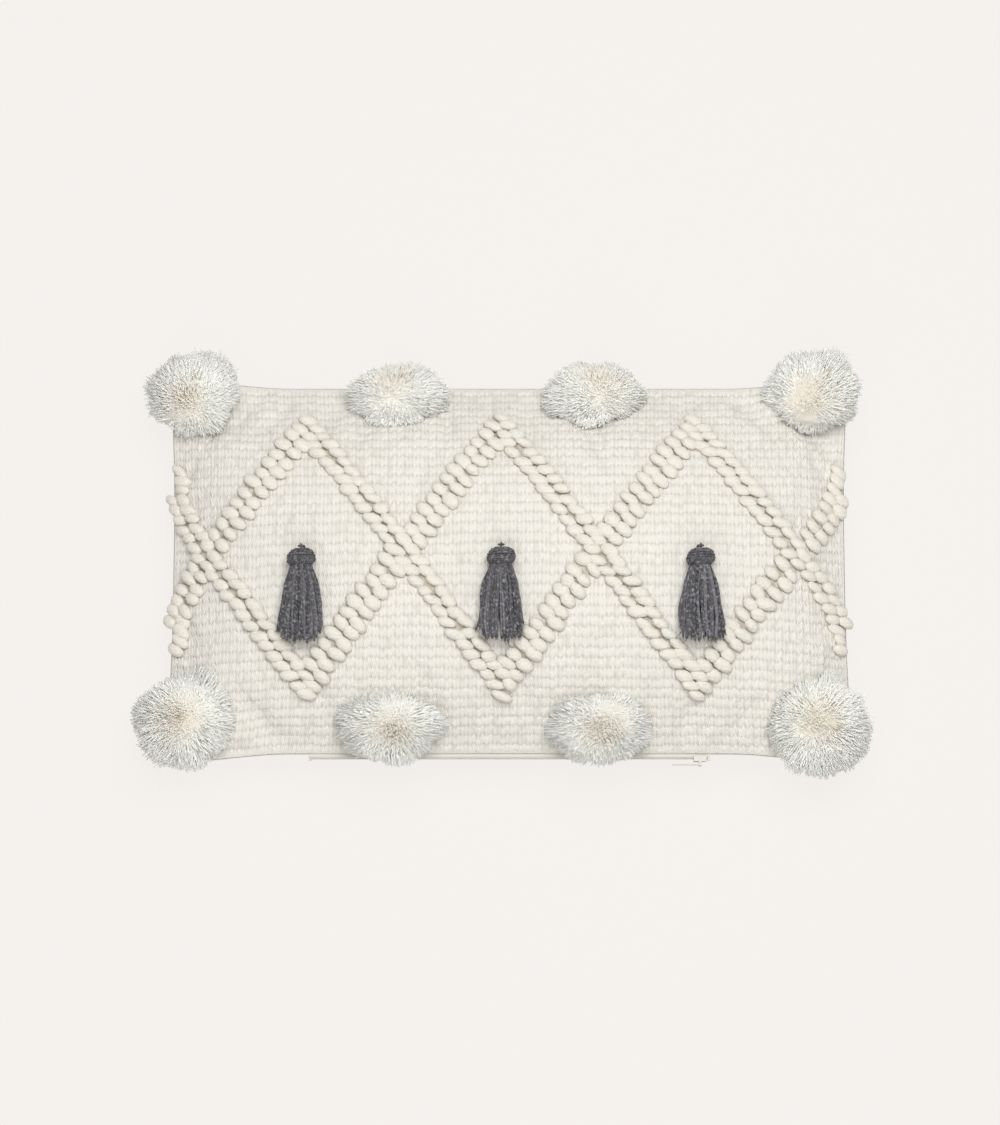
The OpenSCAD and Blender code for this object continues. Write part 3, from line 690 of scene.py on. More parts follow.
def buildFace():
    rng = np.random.default_rng(weave["seed"])
    perX, perY = weave["perCell"]
    across, up = weave["cellsAcross"] * perX, weave["cellsUp"] * perY
    uSteps = evenSteps(lambda t: facePlain(t, 0 * t), across + 1)[0]
    vSteps = evenSteps(lambda t: facePlain(0 * t, t), up + 1)[0]
    u, v = np.meshgrid(uSteps, vSteps)
    cellX, cellY = np.meshgrid(np.linspace(0, weave["cellsAcross"], across + 1),
                               np.linspace(0, weave["cellsUp"], up + 1))
    inX = np.clip(cellX.astype(int), 0, weave["cellsAcross"] - 1)
    inY = np.clip(cellY.astype(int), 0, weave["cellsUp"] - 1)
    a, b = 2 * (cellX - inX) - 1, 2 * (cellY - inY) - 1
    cellTone = rng.random((weave["cellsUp"], weave["cellsAcross"]))
    cellSize = 1 + 0.20 * rng.standard_normal((weave["cellsUp"], weave["cellsAcross"]))
    cellSlip = 0.22 * rng.standard_normal((weave["cellsUp"], weave["cellsAcross"]))
    columnSize = 1 + 0.08 * rng.standard_normal(weave["cellsAcross"])
    size = np.clip(cellSize * columnSize, 0.55, 1.4)[inY, inX]
    slip = cellSlip[inY, inX]
    # two strands lie side by side in each column, with a deeper groove between columns
    betweenColumns = np.where(inX % 2 == 0, a < 0, a > 0)
    groove = (0.28 + 0.12 * betweenColumns) * np.abs(a) ** 2.2
    slant = 0.16 * a * np.where(inX % 2 == 0, 1, -1)
    gap = np.abs(np.clip(b + (slip + slant) * (1 - b * b), -1, 1)) ** 2.6
    relief = (1 - groove - 0.36 * gap - 0.34 * gap * np.abs(a)) * size
    edge = smoothstep((1 - np.abs(u)) * halfLength / 0.004) * smoothstep((1 - np.abs(v)) * halfHeight / 0.004)
    relief = relief * edge + 0.65 * (1 - edge)
    # lines of the weave wander a little, as thick yarn does
    drift = weave["wander"] * (np.sin(cellY * 0.9 + 3 * np.sin(cellX * 0.21))
                               + np.sin(cellX * 0.37 + cellY * 0.13))
    wanderU = drift * (u[0, 1] - u[0, 0]) * perX * 0.7 * edge
    columnShift = weave["stagger"] * (rng.random(weave["cellsAcross"]) - 0.5 + 0.5 * (np.arange(
        weave["cellsAcross"]) % 2 * 2 - 1))
    shiftAt = np.interp(cellX, np.arange(weave["cellsAcross"]) + 0.5, columnShift)
    slipV = edge * (shiftAt * (2 / weave["cellsUp"])
                    + 0.0013 * np.sin(cellX * 0.55 + 2 * np.sin(cellY * 0.3)))
    u2, v2 = np.clip(u + wanderU, -1, 1), np.clip(v + slipV, -1, 1)
    top = faceShape(u2, v2)
    normal = outward(faceShape, u2, v2, 1)
    top = top + normal * ((relief - 0.65) * weave["depth"] * edge)[..., None]
    furrowShade = furrowAt(top[..., 0], top[..., 1])
    top = top.reshape(-1, 3)

    # inner side of the cloth: a coarse grid under the fine one, joined to it round the rim
    coarseU, coarseV = u[::perY, ::perX], v[::perY, ::perX]
    shrink = 1 - cover["seamEdge"] / halfLength, 1 - cover["seamEdge"] / halfHeight
    under = faceShape(coarseU * shrink[0], coarseV * shrink[1])
    under = under - outward(faceShape, coarseU * shrink[0], coarseV * shrink[1], 1) * cover["cloth"]
    rimEdge = (np.abs(coarseU) > 0.9999) | (np.abs(coarseV) > 0.9999)
    flat = facePlain(coarseU, coarseV, cover["seamEdge"])
    under[rimEdge] = flat[rimEdge]
    count = len(top)
    under = under.reshape(-1, 3)
    fineRim = gridRim(across, up)
    coarseRim = gridRim(weave["cellsAcross"], weave["cellsUp"], count)
    walls = []
    position = 0
    steps = [perX] * weave["cellsAcross"] + [perY] * weave["cellsUp"]
    steps = steps + steps
    for k, step in enumerate(steps):
        a0 = coarseRim[k]
        a1 = coarseRim[(k + 1) % len(coarseRim)]
        fine = [fineRim[(position + m) % len(fineRim)] for m in range(step + 1)]
        half = step // 2
        for m in range(step):
            corner = a0 if m < half else a1
            walls.append([fine[m + 1], fine[m], corner])
        walls.append([fine[half], a0, a1])
        position += step
    groups = [gridQuads(across, up), gridQuads(weave["cellsAcross"], weave["cellsUp"], count, True),
              np.array(walls)]
    points = np.concatenate([top, under])
    padding = len(under)
    perPoint = {
        "relief": np.concatenate([relief.ravel(), np.full(padding, 0.65)]),
        "tone": np.concatenate([cellTone[inY, inX].ravel(), np.zeros(padding)]),
        "furrowShade": np.concatenate([furrowShade.ravel(), np.zeros(padding)]),
    }
    cells = np.concatenate([np.stack([cellX.ravel(), cellY.ravel()], axis=1), np.zeros((padding, 2))])
    piece = newPiece("coverFace", points, groups, "wovenFace", perPoint,
                     {"weave": cells[cornersOf(groups)]})
    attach(piece, "cover")
    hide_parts("front_panel")


insert = {
    "inset": 0.016, "drop": 0.0048, "edge": 0.0004, "hem": 0.003, "cloth": 0.001,
    "wadInset": 0.0035, "wadDrop": 0.0016, "lumps": 0.0022,
}


# A thin panel between two shapes of the same grid, with a map in millimetres along the cloth
def clothPanel(name, outer, inner, across, up, facing, material):
    uSteps, lengthX = evenSteps(lambda t: outer(t, 0 * t), across + 1)
    vSteps, lengthY = evenSteps(lambda t: outer(0 * t, t), up + 1)
    u, v = np.meshgrid(uSteps, vSteps)
    first, second = outer(u, v).reshape(-1, 3), inner(u, v).reshape(-1, 3)
    count = len(first)
    rim = gridRim(across, up)
    after = np.roll(rim, -1)
    wall = np.stack([after, rim, rim + count, after + count], axis=1)
    groups = [gridQuads(across, up, 0, facing < 0), gridQuads(across, up, count, facing > 0),
              wall if facing > 0 else wall[:, ::-1]]
    x, y = np.meshgrid(np.linspace(0, lengthX * 1000, across + 1), np.linspace(0, lengthY * 1000, up + 1))
    places = np.stack([x.ravel(), y.ravel()], axis=1)
    places = np.concatenate([places, places])
    return newPiece(name, np.concatenate([first, second]), groups, material,
                    maps={"cloth": places[cornersOf(groups)]})


def innerOf(shape, inset, depth, edgeZ, facing):
    def inner(u, v):
        shrink = 1 - inset / halfLength, 1 - inset / halfHeight
        point = shape(u * shrink[0], v * shrink[1]) - outward(
            shape, u * shrink[0], v * shrink[1], facing) * depth
        rim = smoothstep(1 - np.minimum((1 - np.abs(u)) * halfLength, (1 - np.abs(v)) * halfHeight) / 0.010)
        point[..., 2] = point[..., 2] * (1 - rim) + edgeZ * rim
        return point
    return inner


def buildPanels():
    buildFace()
    print("woven face made")
    inner = innerOf(backShape, cover["seamEdge"], cover["backCloth"], backEdgeZ, -1)
    back = clothPanel("coverBack", backShape, inner, 180, 108, -1, "backCloth")
    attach(back, "cover")
    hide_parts("back_panel")
    inset, drop = insert["inset"], insert["drop"]
    for name, shape, facing in (("insertFront", faceShape, 1), ("insertBack", backShape, -1)):
        edgeZ = cover["seamZ"] + facing * insert["edge"]
        outer = innerOf(shape, inset, drop, edgeZ, facing)
        inner = innerOf(shape, inset + insert["hem"], drop + insert["cloth"], edgeZ, facing)
        panel = clothPanel(name, outer, inner, 72, 44, facing, "casingCloth")
        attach(panel, "cover")
        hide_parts("insert_casing_front" if facing > 0 else "insert_casing_back")
    buildWad(inset + insert["wadInset"], drop + insert["wadDrop"])
    print("back and insert made")


# The fibre: one closed lump with a soft, uneven skin
def buildWad(inset, drop):
    across, up = 84, 50
    u, v = np.meshgrid(np.linspace(-1, 1, across + 1), np.linspace(-1, 1, up + 1))
    top = innerOf(faceShape, inset, drop, cover["seamZ"], 1)(u, v)
    bottom = innerOf(backShape, inset, drop, cover["seamZ"], -1)(u, v)
    lump = 0.5 + 0.5 * np.sin(top[..., 0] * 190 + 2.2 * np.sin(top[..., 1] * 150)) * np.sin(
        top[..., 1] * 210 + 1.7 * np.sin(top[..., 0] * 120))
    inside = smoothstep((1 - np.maximum(np.abs(u), np.abs(v))) / 0.2)
    top[..., 2] -= insert["lumps"] * lump * inside
    bottom[..., 2] += insert["lumps"] * lump * inside
    top, bottom = top.reshape(-1, 3), bottom.reshape(-1, 3)
    rimKeep = gridRim(across, up)
    bottom[rimKeep] = top[rimKeep]
    count = len(top)
    same = np.arange(2 * count)
    same[rimKeep + count] = rimKeep         # both sheets share their rim
    groups = [gridQuads(across, up), same[gridQuads(across, up, count, True)]]
    points = np.concatenate([top, bottom])
    used = np.zeros(len(points), bool)
    for group in groups:
        used[group.ravel()] = True
    number = np.cumsum(used) - 1
    wad = newPiece("fibreFilling", points[used], [number[g] for g in groups], "fibreFill")
    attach(wad, "cover")
    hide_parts("fibre_fill")


# ---- seam and zip ----

sewing = {
    "threadRadius": 0.00065, "plyTurn": 1100,      # radians along a metre
    "zipHalf": 0.175, "tapeWidth": 0.014, "tapeOut": 0.0025, "tapeThick": 0.0008, "tapeGap": 0.0001,
    "coilRadius": 0.0010, "wireRadius": 0.00030, "coilPitch": 0.0014,
}


def seamLine(count, inset):
    start = (sewing["zipHalf"] + 0.003) / halfLength
    corners = [(start, -1), (1, -1), (1, 1), (-1, 1), (-1, -1), (-start, -1)]
    uv = []
    for (u0, v0), (u1, v1) in zip(corners, corners[1:]):
        steps = max(2, int(count * math.hypot((u1 - u0) * halfLength, (v1 - v0) * halfHeight)))
        uv += [(u0 + (u1 - u0) * k / steps, v0 + (v1 - v0) * k / steps) for k in range(steps)]
    uv.append(corners[-1])
    u, v = np.array(uv).T
    z = np.full(len(u), cover["seamZ"])
    return np.stack([u * (seamX(v) - inset), v * (seamY(u) - inset), z], axis=-1)


# Two plies turned round each other along one line
def twoPly(line, radius, turnPerMetre, sides=5):
    length = np.concatenate([[0], np.cumsum(np.linalg.norm(np.diff(line, axis=0), axis=1))])
    along = unitRows(np.gradient(line, axis=0))
    aside = np.array([0, 0, 1.0]) if abs(along[:, 2]).mean() < 0.7 else np.array([1.0, 0, 0])
    across = unitRows(np.cross(aside, along))
    over = np.cross(along, across)
    turn = length * turnPerMetre
    paths = []
    for phase in (0, math.pi):
        offset = np.cos(turn + phase)[:, None] * across + np.sin(turn + phase)[:, None] * over
        paths.append(line + offset * radius * 0.5)
    return tubes(np.array(paths), np.full((2, len(line)), radius * 0.56), sides)


def buildSeam():
    line = seamLine(900, 0.0004)
    points, groups, mapped = twoPly(line, sewing["threadRadius"], sewing["plyTurn"], 4)
    thread = newPiece("seamStitching", points, groups, "sewingThread", maps={"yarn": mapped})
    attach(thread, "cover")
    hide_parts("cover_seam_thread")


def buildZip():
    edgeY = -(halfHeight + sewing["tapeOut"])
    for name, side in (("Front", 1), ("Back", -1)):
        bpy.ops.object.select_all(action="DESELECT")
        z = cover["seamZ"] + side * (sewing["tapeGap"] + sewing["tapeThick"] / 2)
        bpy.ops.mesh.primitive_grid_add(x_subdivisions=140, y_subdivisions=5, size=1,
                                        location=(0, edgeY + sewing["tapeWidth"] / 2, z))
        tape = bpy.context.object
        tape.name = "zipTape" + name
        tape.scale = (2 * sewing["zipHalf"], sewing["tapeWidth"], 1)
        bpy.ops.object.transform_apply(location=True, rotation=True, scale=True)
        thick = tape.modifiers.new("thick", "SOLIDIFY")
        thick.thickness = sewing["tapeThick"] * 0.9
        thick.offset = 0
        bpy.ops.object.modifier_apply(modifier=thick.name)
        tape.data.materials.append(materials["zipTape"])
        cloth = tape.data.uv_layers.new(name="cloth")
        for corner in tape.data.loops:
            place = tape.data.vertices[corner.vertex_index].co
            cloth.data[corner.index].uv = (place.x * 1000, place.y * 1000)
        bpy.ops.object.shade_smooth_by_angle(angle=math.radians(40))
        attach(tape, "cover")
        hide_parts("zip_tape_" + name.lower())

        turns = int(2 * (sewing["zipHalf"] - 0.001) / sewing["coilPitch"])
        t = np.linspace(0, turns, turns * 8 + 1)
        radius = sewing["coilRadius"] - sewing["wireRadius"]
        lowZ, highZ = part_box("zip_coil_" + name.lower())
        middle = (lowZ + highZ) / 2
        line = np.stack([-sewing["zipHalf"] + 0.001 + t * sewing["coilPitch"],
                         middle.y + radius * np.cos(2 * np.pi * t),
                         middle.z + radius * np.sin(2 * np.pi * t)], axis=-1)
        points, groups, _ = tubes(line[None], np.full((1, len(line)), sewing["wireRadius"]), 4)
        coil = newPiece("zipCoil" + name, points, groups, "zipTeeth")
        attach(coil, "cover")
        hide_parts("zip_coil_" + name.lower())
    for node in ("zip_closed_stop", "zip_open_stop", "zip_slider", "zip_pull"):
        paint(node, "zipMetal")
    paint("insert_seam_thread", "sewingThread")


def paint(node, material):
    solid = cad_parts[node]
    solid.data.materials.clear()
    solid.data.materials.append(materials[material])


# ---- loop ridges ----

pile = {
    "length": 0.0172, "width": 0.0112, "height": 0.0084, "arch": 0.0013,
    "sides": 8, "rings": 7, "turn": 24,
    "sideRows": 9, "crowding": 1.74, "seed": 5, "centreRise": 0.0018,
}


# One loop of thick yarn along X, built ring by ring and turned a little at each
def modelLoop():
    half = pile["length"] / 2
    stations = [half * math.sin(math.radians(84 * (2 * k / (pile["rings"] - 1) - 1)))
                for k in range(pile["rings"])]
    girth = [max(0.0, 1 - abs(x / half) ** 2.4 * 0.97) ** 0.5 for x in stations]
    bpy.ops.object.select_all(action="DESELECT")
    bpy.ops.mesh.primitive_circle_add(vertices=pile["sides"], radius=pile["width"] / 2 * girth[0],
                                      fill_type="NGON", location=(stations[0], 0, 0),
                                      rotation=(0, math.radians(90), 0))
    loop = bpy.context.object
    loop.name = "pileLoop"
    bpy.ops.object.transform_apply(location=True, rotation=True, scale=True)
    bpy.ops.object.mode_set(mode="EDIT")
    bpy.ops.mesh.select_all(action="SELECT")
    for k in range(1, pile["rings"]):
        rise = pile["arch"] * ((stations[k - 1] / half) ** 2 - (stations[k] / half) ** 2)
        bpy.ops.mesh.extrude_region_move(
            TRANSFORM_OT_translate={"value": (stations[k] - stations[k - 1], 0, rise)})
        centre = (stations[k], 0, pile["arch"] * ((stations[0] / half) ** 2 - (stations[k] / half) ** 2))
        grow = girth[k] / girth[k - 1]
        bpy.ops.transform.resize(value=(1, grow, grow), center_override=centre)
        bpy.ops.transform.rotate(value=math.radians(pile["turn"]), orient_axis="X", center_override=centre)
    bpy.ops.mesh.select_all(action="SELECT")
    bpy.ops.mesh.normals_make_consistent(inside=False)
    bpy.ops.object.mode_set(mode="OBJECT")
    squash = pile["height"] / pile["width"]
    for vertex in loop.data.vertices:
        x, y, z = vertex.co
        around = math.atan2(z, y)
        turned = around - math.radians(pile["turn"]) * 6 * (x / half)
        swell = 1 + 0.09 * math.cos(2 * turned)     # two plies show as two lobes
        vertex.co = (x, y * swell, z * swell * squash)
    # low is 1 on the underside of the loop and 0 on its top; the material paints tan shade by it
    low = loop.data.attributes.new("low", "FLOAT", "POINT")
    tallest = pile["height"] / 2
    for vertex, value in zip(loop.data.vertices, low.data):
        value.value = min(1, max(0, 0.5 - vertex.co.z / tallest / 2))
    strands = loop.data.uv_layers.new(name="yarn")
    for corner in loop.data.loops:
        x, y, z = loop.data.vertices[corner.vertex_index].co
        strands.data[corner.index].uv = (math.atan2(abs(z), y) / math.pi, x / pile["length"])
    loop.data.polygons.foreach_set("use_smooth", [True] * len(loop.data.polygons))
    loop.data.materials.append(materials["pileYarn"])
    return loop


def loopPlace(x, row, lean):
    return x, pattern["shiftY"] + clothToY(row * rowPitch), lean


# Places of a leg's loops, from a crossing: right is 1 or -1 along the length, up is 1 or -1
def legPlaces(crossing, right, up, rows):
    lean = pattern["leanAcross"] if right * up > 0 else pattern["leanAlong"]
    places = []
    for row in range(rows + 1):
        for part in (-1, 1):
            out = row * rowStep + part * pattern["spacing"] / 2
            onLine = abs(out) < rowStep / 2 or abs(out - halfDiamond) < rowStep / 2
            pastLine = out < 0 or out > halfDiamond
            owned = right > 0 if onLine else not pastLine
            if owned and (row > 0 or up > 0):
                places.append(loopPlace(crossing + right * out, up * row, lean))
    return places


# Beyond the last crossing the rows crowd together as the cloth turns down to the side seam
def endPlaces(crossing, right, up):
    lean = pattern["leanAcross"] if right * up > 0 else pattern["leanAlong"]
    room = halfLength - abs(crossing)
    places = []
    for row in range(pile["sideRows"] + 1):
        share = row / pile["sideRows"]
        for part in (-1, 1):
            out = room * (1 - (1 - share) ** pile["crowding"]) * 0.985 + part * pattern["spacing"] / 2 * (
                1 - 0.35 * share)
            onLine = abs(out) < rowStep / 2
            owned = right > 0 if onLine else out > 0
            if owned and (row > 0 or up > 0) and out < room + 0.001:
                places.append(loopPlace(crossing + right * out, up * row, lean))
    return places


def buildRidges():
    loop = modelLoop()
    rng = np.random.default_rng(pile["seed"])
    legs = []
    for rowName, up in (("upper", 1), ("lower", -1)):
        for leg in range(1, 2 * pattern["diamonds"] + 1):
            crossing = crossingX(leg // 2)
            legs.append((rowName, str(leg), legPlaces(crossing, 1 if leg % 2 else -1, up, pattern["rows"])))
        legs.append((rowName, "left", endPlaces(crossingX(0), -1, up)))
        legs.append((rowName, "right", endPlaces(crossingX(pattern["diamonds"]), 1, up)))
    total = 0
    for rowName, ending, places in legs:
        copies = []
        for x, y, lean in places:
            x, y = x + rng.normal(0, 0.0008), y + rng.normal(0, 0.0006)
            slim = 1.0 if lean == pattern["leanAcross"] else 0.90
            here, side, upward, out = faceFrame(x, y, faceShape)
            base = Matrix([[side[k], upward[k], out[k], here[k]] for k in range(3)] + [[0, 0, 0, 1]])
            turn = Matrix.Rotation(math.radians(-lean + rng.normal(0, 7)), 4, "Z")
            roll = Matrix.Rotation(math.radians(rng.normal(0, 9)), 4, "X")
            size = Matrix.Diagonal((1 + rng.normal(0, 0.08), slim * (1 + rng.normal(0, 0.08)),
                                    1 + rng.normal(0, 0.08), 1))
            rise = Matrix.Translation((0, 0, pile["centreRise"] + rng.normal(0, 0.0003)))
            copy = loop.copy()
            copy.data = loop.data.copy()
            copy.data.transform(base @ rise @ turn @ roll @ size)
            scene.collection.objects.link(copy)
            copies.append(copy)
        total += len(copies)
        bpy.ops.object.select_all(action="DESELECT")
        for copy in copies:
            copy.select_set(True)
        bpy.context.view_layer.objects.active = copies[0]
        bpy.ops.object.join()
        ridge = bpy.context.object
        ridge.name = "loopRidge" + rowName.capitalize() + ending.capitalize()
        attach(ridge, "cover")
        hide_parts(f"loop_ridge_{rowName}_{ending}")
    bpy.data.objects.remove(loop)
    print("ridges made from", total, "loops")


# ---- pompoms ----

pompoms = {
    "tieX": (-0.278, -0.101, 0.080, 0.262), "tieY": {"top": 0.143, "bottom": -0.132},
    # for each pile: how far it leans along the length and up the face, its width and its depth
    "top": ((0.0013, 0.0128, 0.082, 0.0735), (0.0031, 0.0031, 0.0885, 0.056),
            (-0.0066, 0.0057, 0.090, 0.063), (0.0084, 0.0145, 0.084, 0.078)),
    "bottom": ((-0.0031, -0.0026, 0.087, 0.083), (-0.0035, -0.0053, 0.093, 0.060),
               (-0.0022, -0.0079, 0.089, 0.063), (0.0080, -0.0095, 0.090, 0.089)),
    "height": 0.040,
    "centreHeight": 0.011, "clumps": 34, "strandsInClump": 250, "strandRadius": 0.00050,
    "spread": 0.32, "gather": 0.32, "curl": 0.0011, "dome": 0.7,
    "widestStray": 0.8, "droop": 0.005,
    "heartShare": 0.75, "heartLean": 0.7, "heartRows": 26, "heartColumns": 52, "lowest": -0.34,
}


# Directions spread evenly over the upper part of a ball, a little below its middle too
def clumpDirections(count, rng):
    k = np.arange(count) + 0.5
    height = 1 - (1 - pompoms["lowest"]) * k / count
    turn = k * goldenTurn + rng.random() * 6.28
    flat = np.sqrt(1 - height ** 2)
    directions = np.stack([flat * np.cos(turn), flat * np.sin(turn), height], axis=1)
    return unitRows(directions + rng.normal(0, 0.10, directions.shape))


# How cool and pale the yarn is: warm near the tie, paler towards the ends and the rim. This is part real
# colour and part painted light: the rim is painted paler than the centre to even out the shade it gets.
def palenessAndRimLight(points, size, share):
    fromTie = np.hypot(points[..., 0] / size[0], points[..., 1] / size[1])
    return smoothstep((0.75 * fromTie + 0.30 * share - 0.28) / 0.62)


def buildPompom(name, x, y, tuft, seed, node):
    rng = np.random.default_rng(seed)
    place = faceFrame(x, y)
    leanX, leanY, width, depth = tuft
    size = np.array([width / 2, depth / 2, pompoms["height"] - pompoms["centreHeight"]])
    clumps = clumpDirections(pompoms["clumps"], rng)
    count = len(clumps) * pompoms["strandsInClump"]
    clumpDir = np.repeat(clumps, pompoms["strandsInClump"], axis=0)
    clumpReach = np.repeat(rng.normal(0.98, 0.065, len(clumps)), pompoms["strandsInClump"])
    clumpTone = np.repeat(rng.random(len(clumps)), pompoms["strandsInClump"])
    start = unitRows(clumpDir + rng.normal(0, pompoms["spread"], (count, 3)))
    # a strand leaves the heart in its own direction and is drawn towards its clump
    t = np.array([0.50, 0.78, 1.0])
    pull = pompoms["gather"] * t[None, :, None] ** 1.5
    towards = unitRows(start[:, None] * (1 - pull) + clumpDir[:, None] * pull)
    fromClump = np.minimum(np.linalg.norm(towards[:, -1] - clumpDir, axis=1), pompoms["widestStray"])
    reach = clumpReach * (1 - pompoms["dome"] * fromClump ** 2) * (1 + rng.normal(0, 0.035, count))
    paths = towards * size * (t[None, :, None] * reach[:, None, None])
    paths += rng.normal(0, pompoms["curl"], paths.shape) * t[None, :, None]
    droop = pompoms["droop"] * t ** 2 * (1 - np.abs(towards[..., 2])) ** 2
    paths[..., 0] += leanX * t
    paths[..., 1] += leanY * t
    paths[..., 2] = np.maximum(paths[..., 2] + pompoms["centreHeight"] - droop, 0.0012)
    radii = pompoms["strandRadius"] * np.array([[0.8, 1.1, 0.8]]) * (1 + rng.normal(0, 0.18, (count, 1)))
    points, groups, _ = tubes(paths, radii, 3)
    pale = palenessAndRimLight(paths, size, t[None, :] * np.ones((count, 1)))
    tone = 0.65 * clumpTone + 0.35 * rng.random(count)
    tone = tone * np.where(rng.random(count) < 0.04, 1.5, 1.0)
    ringTone = tone[:, None] * np.array([[1.0, 0.85, 0.6]])

    # a full heart behind the strands; its colour is painted shade, dark like the depths of the pile
    rows, columns = pompoms["heartRows"], pompoms["heartColumns"]
    lift, around = np.meshgrid(np.linspace(pompoms["lowest"], math.pi / 2 - 0.02, rows),
                               np.linspace(0, 2 * math.pi, columns, endpoint=False), indexing="ij")
    ball = np.stack([np.cos(lift) * np.cos(around), np.cos(lift) * np.sin(around), np.sin(lift)], axis=-1)
    near = (ball.reshape(-1, 3) @ clumps.T).max(axis=1).reshape(rows, columns)
    clumped = smoothstep((near - 0.86) / 0.12)
    bumps = rng.normal(0, 0.012, near.shape)
    heart = ball * size * (pompoms["heartShare"] + 0.04 * clumped + bumps)[..., None] + (
        pompoms["heartLean"] * leanX, pompoms["heartLean"] * leanY, 0)
    heart[..., 2] = np.maximum(heart[..., 2] + pompoms["centreHeight"], 0.0006)
    number = np.arange(rows * columns).reshape(rows, columns) + len(points)
    right = np.roll(number, -1, axis=1)
    skin = np.stack([number[:-1], right[:-1], right[1:], number[1:]], axis=-1).reshape(-1, 4)
    groups = groups + [skin, number[0][::-1][None], number[-1][None]]
    heartPale = palenessAndRimLight(heart, size, np.full(near.shape, 0.6))
    extras = {
        "tip": np.concatenate([np.repeat(pale.ravel(), 3), heartPale.ravel()]),
        "tone": np.concatenate([np.repeat(ringTone.ravel(), 3), np.zeros(near.size)]),
        "core": np.concatenate([np.zeros(len(points)), np.ones(near.size)]),
    }
    points = toWorld(np.concatenate([points, heart.reshape(-1, 3)]), place)
    piece = newPiece(name, points, groups, "pompomYarn", extras)
    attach(piece, "cover")
    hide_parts(node)


ties = {"radius": 0.0012, "plyTurn": 1500, "neck": 0.0036, "knot": 0.0028}


# The tie: a few turns of thread round the pile's neck and a small knot in its middle
def buildTie(name, x, y, tuft, node):
    place = faceFrame(x, y)
    turns = np.linspace(0, 3.2 * 2 * math.pi, 60)
    lower = np.stack([ties["neck"] * np.cos(turns), ties["neck"] * np.sin(turns), 0.002 + turns * 0.00035],
                     axis=1)
    rise = np.stack([np.interp(np.linspace(0, 1, 12), [0, 1], [ties["neck"], 0.0018]), np.zeros(12),
                     np.linspace(0.0092, pompoms["height"] - 0.010, 12)], axis=1)
    knotTurn = np.linspace(0, 2.2 * 2 * math.pi, 46)
    knot = np.stack([ties["knot"] * np.cos(knotTurn) * (1 - 0.2 * np.sin(knotTurn / 2)),
                     ties["knot"] * np.sin(knotTurn),
                     pompoms["height"] - 0.009 + 0.0016 * np.sin(1.5 * knotTurn)], axis=1)
    tail = np.array([[ties["knot"], 0.001, pompoms["height"] - 0.008],
                     [0.006, 0.003, pompoms["height"] - 0.003],
                     [0.008, 0.006, pompoms["height"] + 0.0005]])
    line = smoothLine(np.concatenate([lower[::3], rise[::4], knot[::3], tail]), 220)
    line[:, :2] += np.array(tuft[:2]) * smoothstep(line[:, 2:] / pompoms["height"])
    points, groups, mapped = twoPly(toWorld(line, place), ties["radius"], ties["plyTurn"])
    piece = newPiece(name, points, groups, "pompomTie", maps={"yarn": mapped})
    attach(piece, "cover")
    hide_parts(node)


def buildPompoms():
    seed = 40
    for row in ("top", "bottom"):
        for number, x in enumerate(pompoms["tieX"], 1):
            y = pompoms["tieY"][row]
            tuft = pompoms[row][number - 1]
            buildPompom(f"pompom{row.capitalize()}{number}", x, y, tuft, seed, f"pompom_{row}_{number}")
            buildTie(f"pompomTie{row.capitalize()}{number}", x, y, tuft, f"pompom_tie_{row}_{number}")
            seed += 1
    print("pompoms made")


# ---- tassels ----

tassels = {
    "middleY": -0.030, "axisRise": 0.0133, "stitchY": 0.041,
    "headTop": 0.0393, "headEnd": 0.0232, "headRadius": 0.0128, "wrapEnd": 0.0165,
    "skirtStart": 0.0245, "skirtEnd": -0.0385, "neckRadius": 0.0082, "halfWidth": 0.0190, "halfThick": 0.0058,
    "strands": 84, "strandRadius": 0.00125, "rings": 18, "sides": 5,
    "lean": (-0.0012, 0.0005, 0.0024), "plyTurn": 1300, "eyeRadius": 0.0017, "cordRadius": 0.00095,
    "lowDrop": 0.0024, "shifts": 400, "frays": 260,
}


def yarnPiece(name, sets, extras, place, body, node):
    points, groups, mapped, perPoint = joinSets(sets, extras)
    piece = newPiece(name, toWorld(points, place), groups, "tasselYarn", perPoint,
                     {"yarn": mapped})
    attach(piece, body)
    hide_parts(node)


# Yarn wound round the tassel's own line, from one end of it to the other
def woundYarn(profile, turns, radius, rng):
    t = np.linspace(0, 1, int(turns * 26))
    along, reach = profile(t)
    angle = t * turns * 2 * math.pi
    line = np.stack([reach * np.cos(angle), along + 0.0017 * np.sin(angle + 0.6) * np.sin(np.pi * t),
                     tassels["axisRise"] + reach * np.sin(angle)], axis=1)
    points, groups, mapped = twoPly(line, radius, tassels["plyTurn"])
    tone = 0.10 + 0.50 * rng.random(len(line))
    perRing = np.tile(np.repeat(tone, 5), 2)
    return (points, groups, mapped), {"tone": perRing}


def buildTassel(number):
    rng = np.random.default_rng(70 + number)
    place = faceFrame(crossingX(number - 0.5), tassels["middleY"])
    buildCord(number, place)
    buildHead(number, place, rng)
    buildWrap(number, place, rng)
    buildSkirt(number, place, rng)


# The cord comes up from its stitch, makes a small loop, and the head's own yarn passes through it
def buildCord(number, place):
    rise, stitch = tassels["axisRise"], tassels["stitchY"]
    bends = [(0, -0.0050), (0, 0.002), (0, 0.0068), (0.0011, 0.0084), (0.0021, 0.0108), (0.0016, rise),
             (0, rise + 0.0005), (-0.0016, rise), (-0.0021, 0.0108), (-0.0011, 0.0084), (0, 0.0064)]
    line = smoothLine([(x, stitch, z) for x, z in bends], 70)
    points, groups, mapped = twoPly(line, tassels["cordRadius"], tassels["plyTurn"])
    yarnPiece(f"tasselCord{number}", [(points, groups, mapped)], [{"tone": np.full(len(points), 0.5)}], place,
              f"cord_{number}", f"tassel_cord_{number}")


